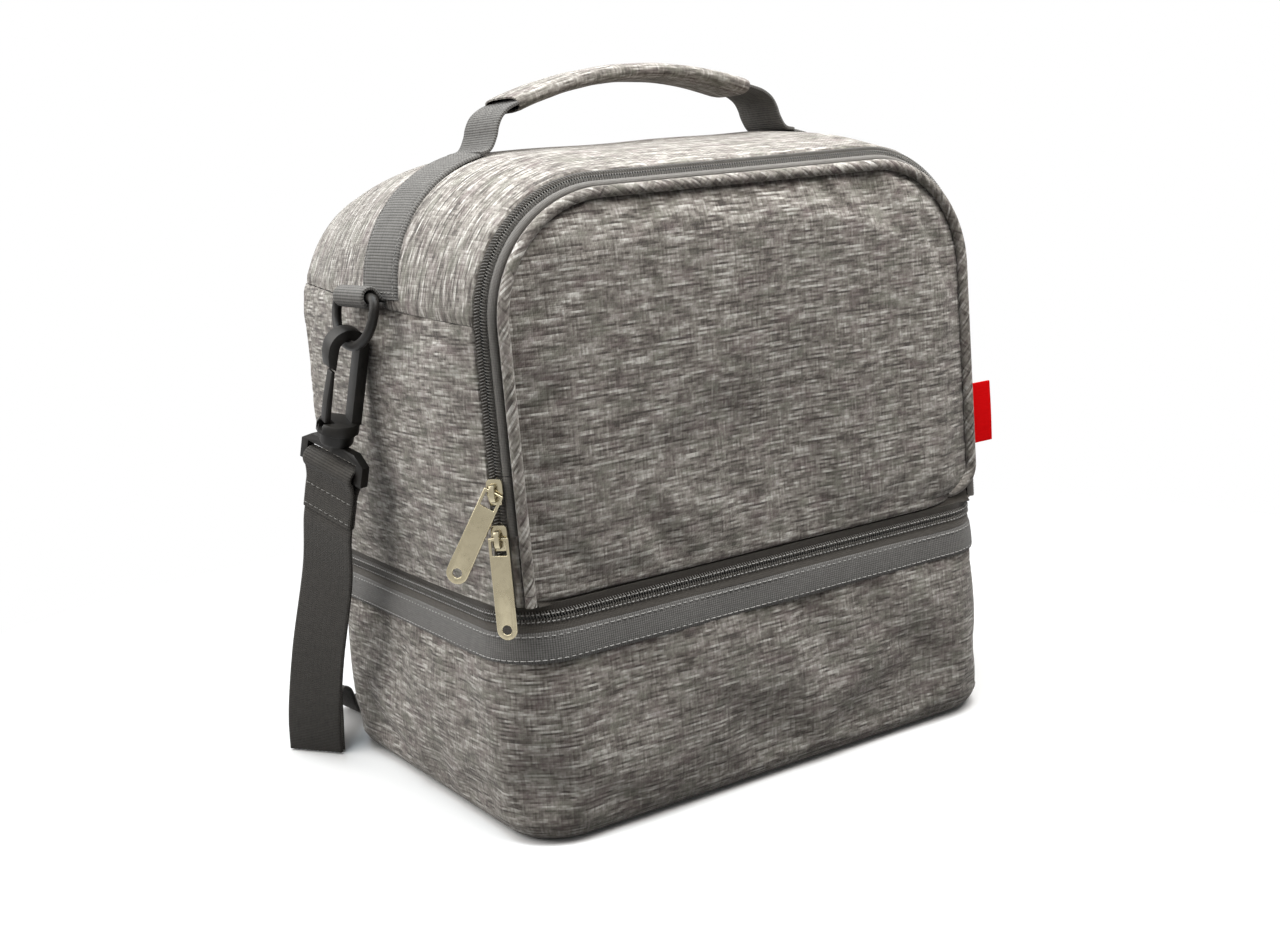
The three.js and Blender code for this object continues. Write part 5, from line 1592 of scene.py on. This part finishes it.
# %% Strap on the floor
STRAP_Y = BACK + 33 * MM
LIFT = 3.6 * MM
STRAIGHT = 87 * MM
TWIST_FROM = 0.72  # share of the way to the fold at which the strap starts to twist
floor_points = [
    FOLD + mm(1.5, 1.4, 0.3),
    FOLD + mm(5.0, 7.0, 12.9),
    FOLD + mm(9.0, 12.0, 25.9),
    FOLD + mm(18.0, 20.0, 22.9),
    (FOLD[0] + 32 * MM, STRAP_Y - 7 * MM, 6 * MM),
    (-STRAIGHT - 10 * MM, STRAP_Y, LIFT),
    (-STRAIGHT, STRAP_Y, LIFT),
]
run_left = smooth_route(floor_points, 90)
straight = points(np.linspace(-STRAIGHT, STRAIGHT, 60)[1:-1], STRAP_Y, LIFT)
run_path = np.concatenate((run_left, straight, mirrored(run_left, 1)[::-1]))
near_end = fade(np.abs(run_path[:, :1]) / -FOLD[0] - TWIST_FROM, 1 - TWIST_FROM)
near_end = near_end**2 * (3 - 2 * near_end)
run_across = -ACROSS_Y * (1 - near_end) + FOLD_ACROSS * near_end
run_across[:, 0] *= np.where(run_path[:, 0] > 0, -1, 1)
floor_strap = ribbon("strap_floor_web", run_path, run_across)
place(floor_strap, "base", "strap_webbing", "strap_floor_run")
run_length = float(lengths_along(run_path)[-1])
flat = (WEB_WIDTH, run_length)
print("strap on the floor", round(run_length, 3), "m")

# %% [markdown]
# ## Ring loops and tab
# A short loop of webbing holds each ring at the side seam. On the right, a folded red tab is sewn
# into the seam beside the zip; it is bare.

# %% Ring loops
LOOP = 3.65 * MM
ring_x, _, ring_z = joint_place("ring_swing_left")
loop_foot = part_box("ring_loop_left")[1].x + 0.6 * MM
foot_x = loop_foot - mm(0, 1.2)
turn = np.radians(np.linspace(60, 300, 30))
over = points(foot_x, SEAM_HEIGHT + mm(1.9, 2.2))
under = points(foot_x[::-1], SEAM_HEIGHT + mm(0.2, 0))
loop_x, loop_z = folded_end(over, (ring_x, ring_z), LOOP, turn, under)
loop_path = smooth_route(points(loop_x, HANDLE_Y, loop_z), 70)
for side, way in SIDES:
    path = mirrored(loop_path, way)
    loop = ribbon(f"ring_loop_{side}_web", path, ACROSS_Y, WEB_WIDTH - 0.4 * MM)
    place(loop, "upper", "handle_webbing", f"ring_loop_{side}")
print("ring loops at height", round(float(ring_z), 4))

# %% Red tab
TAB_LAYER = 0.4 * MM
TAB_THICK = 0.5 * MM
tab_low, tab_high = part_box("side_tab")
tab_tall, tab_end = tab_high.z - tab_low.z, tab_high.x + 4 * MM
root_x = HALF + mm(-1.5, 4)
turn = np.radians(np.linspace(-90, 90, 9))
near, far = points(root_x, -TAB_LAYER), points(root_x[::-1], TAB_LAYER)
tab_x, tab_y = folded_end(near, (tab_end - TAB_LAYER, 0), TAB_LAYER, turn, far)
_, tab_middle, tab_height = (tab_low + tab_high) / 2
tab_path = evenly(points(tab_x, tab_middle + tab_y, tab_height - 3 * MM), 60)
tab = ribbon("side_tab_woven", tab_path, (0, 0, 1.0), tab_tall, TAB_THICK, 40 * MM, columns=30)
place(tab, "upper", "red_tab_weave", "side_tab")
print("red tab", round(tab_tall, 4), "m tall")

# %% [markdown]
# ## Stitches
# The band round the base shows a pale row along each edge, and each half of the base zip's coil is held on its
# tape by a fine row over its turns; the pale colour of these zip rows is partly the thread's and partly painted
# highlight on the bends of the coil. The handle's strips are sewn down along their edges, and the strap's ends by
# two rows across.

# %% Rows of stitches
STITCH_HALF = 1.05 * MM
STITCH = (
    (0, -STITCH_HALF, -0.25 * MM),
    (0, 0, 0.55 * MM),
    (0, STITCH_HALF, -0.25 * MM),
)
FINE = tuple((x * 0.5, y * 0.5, z * 0.7) for x, y, z in STITCH)
THREAD = 0.26 * MM


def stitch(name, rows, body, finish, slot=None, pitch=2.9 * MM, bend=STITCH):
    turns(name, rows, pitch, bend, THREAD, body, finish, slot=slot)


band_rows = []
for drop, proud in mm((2.0, 1.25), (11.4, 1.3)):
    height = BASE_TOP - drop
    row = ring_grid([base_swell(height) + proud], [height])[:, 0]
    band_rows.append([np.concatenate((ring, ring[:1])) for ring in (row, ring_ways)])
stitch("band_stitches", band_rows, "base", "pale_thread")
# The zip rows are pale partly as thread and partly as painted highlight on the bends of the coil.
for name, body, way in (("lower", "base", -1), ("upper", "upper", 1)):
    row = chain + zip_ways * MM + np.array((0, 0, way * 1.5 * MM))
    stitch(
        f"base_zip_stitches_and_highlight_{name}", [(row, zip_ways)], body, "pale_thread",
        slot="zip_tape", pitch=2.0 * MM, bend=FINE,
    )
stitch("handle_strip_stitches", strip_rows, "upper", "grey_thread")
for side, rows in strap_rows.items():
    stitch(f"strap_end_stitches_{side}", rows, f"swivel_{side}", "grey_thread")
print("stitches sewn")

# %% [markdown]
# ## Floor and light
# The floor is pale and the background white. A lamp above gives the bright top, a broad one from
# the left shows the weave of the side, a third from high in front lights the flap, and an even
# white surround fills the shadows.

# %% Floor
FLOOR_HALF = 12.0
PAPER_NEAR, PAPER_FAR = 0.20, 0.50  # from the bag's middle the paper fades to plain white
WHITE = (1, 1, 1, 1)
corners = [(x * FLOOR_HALF, y * FLOOR_HALF, 0) for x, y in ((-1, -1), (1, -1), (1, 1), (-1, 1))]
floor = new_piece("floor", corners, [(0, 1, 2, 3)])
floor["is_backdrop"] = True
tree, shader = new_finish(
    "floor_paper", Base_Color=(0.80, 0.80, 0.80, 1), Roughness=0.9, Specular_IOR_Level=0.1
)


def looked_at(tree):
    """1 for the rays that show a surface: straight, in a reflection or through something."""
    seen = put(tree, "ShaderNodeLightPath")
    through = reckon("MAXIMUM", seen["Is Glossy Ray"], seen["Is Transmission Ray"])
    return reckon("MAXIMUM", seen["Is Camera Ray"], through)


def mix_shaders(tree, factor, a, b):
    return put(tree, "ShaderNodeMixShader", {0: factor, 1: a, 2: b})[0]


from_middle = {0: object_places(tree)}
distance = put(tree, "ShaderNodeVectorMath", from_middle, operation="LENGTH")["Value"]
far = remap(distance, PAPER_NEAR, PAPER_FAR, 0.0, 1.0)
white = put(tree, "ShaderNodeEmission", {"Color": WHITE, "Strength": 1.0})[0]
shown = mix_shaders(tree, far, Outputs(tree.nodes["Principled BSDF"])[0], white)
bounce = put(tree, "ShaderNodeBsdfDiffuse", {"Color": (0.10, 0.10, 0.10, 1)})[0]
mixed = mix_shaders(tree, looked_at(tree), bounce, shown)
feed(tree.nodes["Material Output"].inputs, {"Surface": mixed})
floor.data.materials.append(finishes["floor_paper"])
print("floor laid")

# %% World and lamps
FILL = 0.26
LAMP_TARGET = np.array((0, 0, 0.17))
LAMPS = {  # azimuth, elevation, distance, size, power and colour
    "top_lamp": (-60, 80, 0.95, 0.8, 7.2, (0.80, 0.91, 1.0)),
    "left_lamp": (-112, 40, 1.05, 1.2, 16, (1.0, 0.985, 0.96)),
    "front_lamp": (26, 62, 0.74, 0.7, 9.8, (1.0, 0.98, 0.95)),
}
scene.world = bpy.data.worlds.new("studio")
scene.world.use_nodes = True
tree = scene.world.node_tree
fill = tree.nodes["Background"]
feed(fill.inputs, {"Color": (1.0, 0.99, 0.97, 1), "Strength": FILL})
white = put(tree, "ShaderNodeBackground", {"Color": WHITE, "Strength": 1.0})[0]
mixed = mix_shaders(tree, looked_at(tree), Outputs(fill)[0], white)
feed(tree.nodes["World Output"].inputs, {"Surface": mixed})
for name, (azimuth, elevation, distance, size, power, colour) in LAMPS.items():
    lamp = bpy.data.lights.new(name, "AREA")
    lamp.shape, lamp.size, lamp.energy, lamp.color = "DISK", size, power, colour
    z = heading(azimuth, elevation)
    x = unit(np.cross((0, 1, 0.01), z))
    stand(new_object(name, lamp), x, z, LAMP_TARGET + z * distance)
scene.view_settings.view_transform = "Standard"
print("lamps:", *LAMPS)

# %% [markdown]
# ## Sizes and finish
# The dressed bag has to stay the size of the rigid model. The box of the dressed bag is printed.

# %% Box of the dressed bag
low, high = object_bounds()
print("dressed box", [round(c, 4) for c in (*low, *high)])
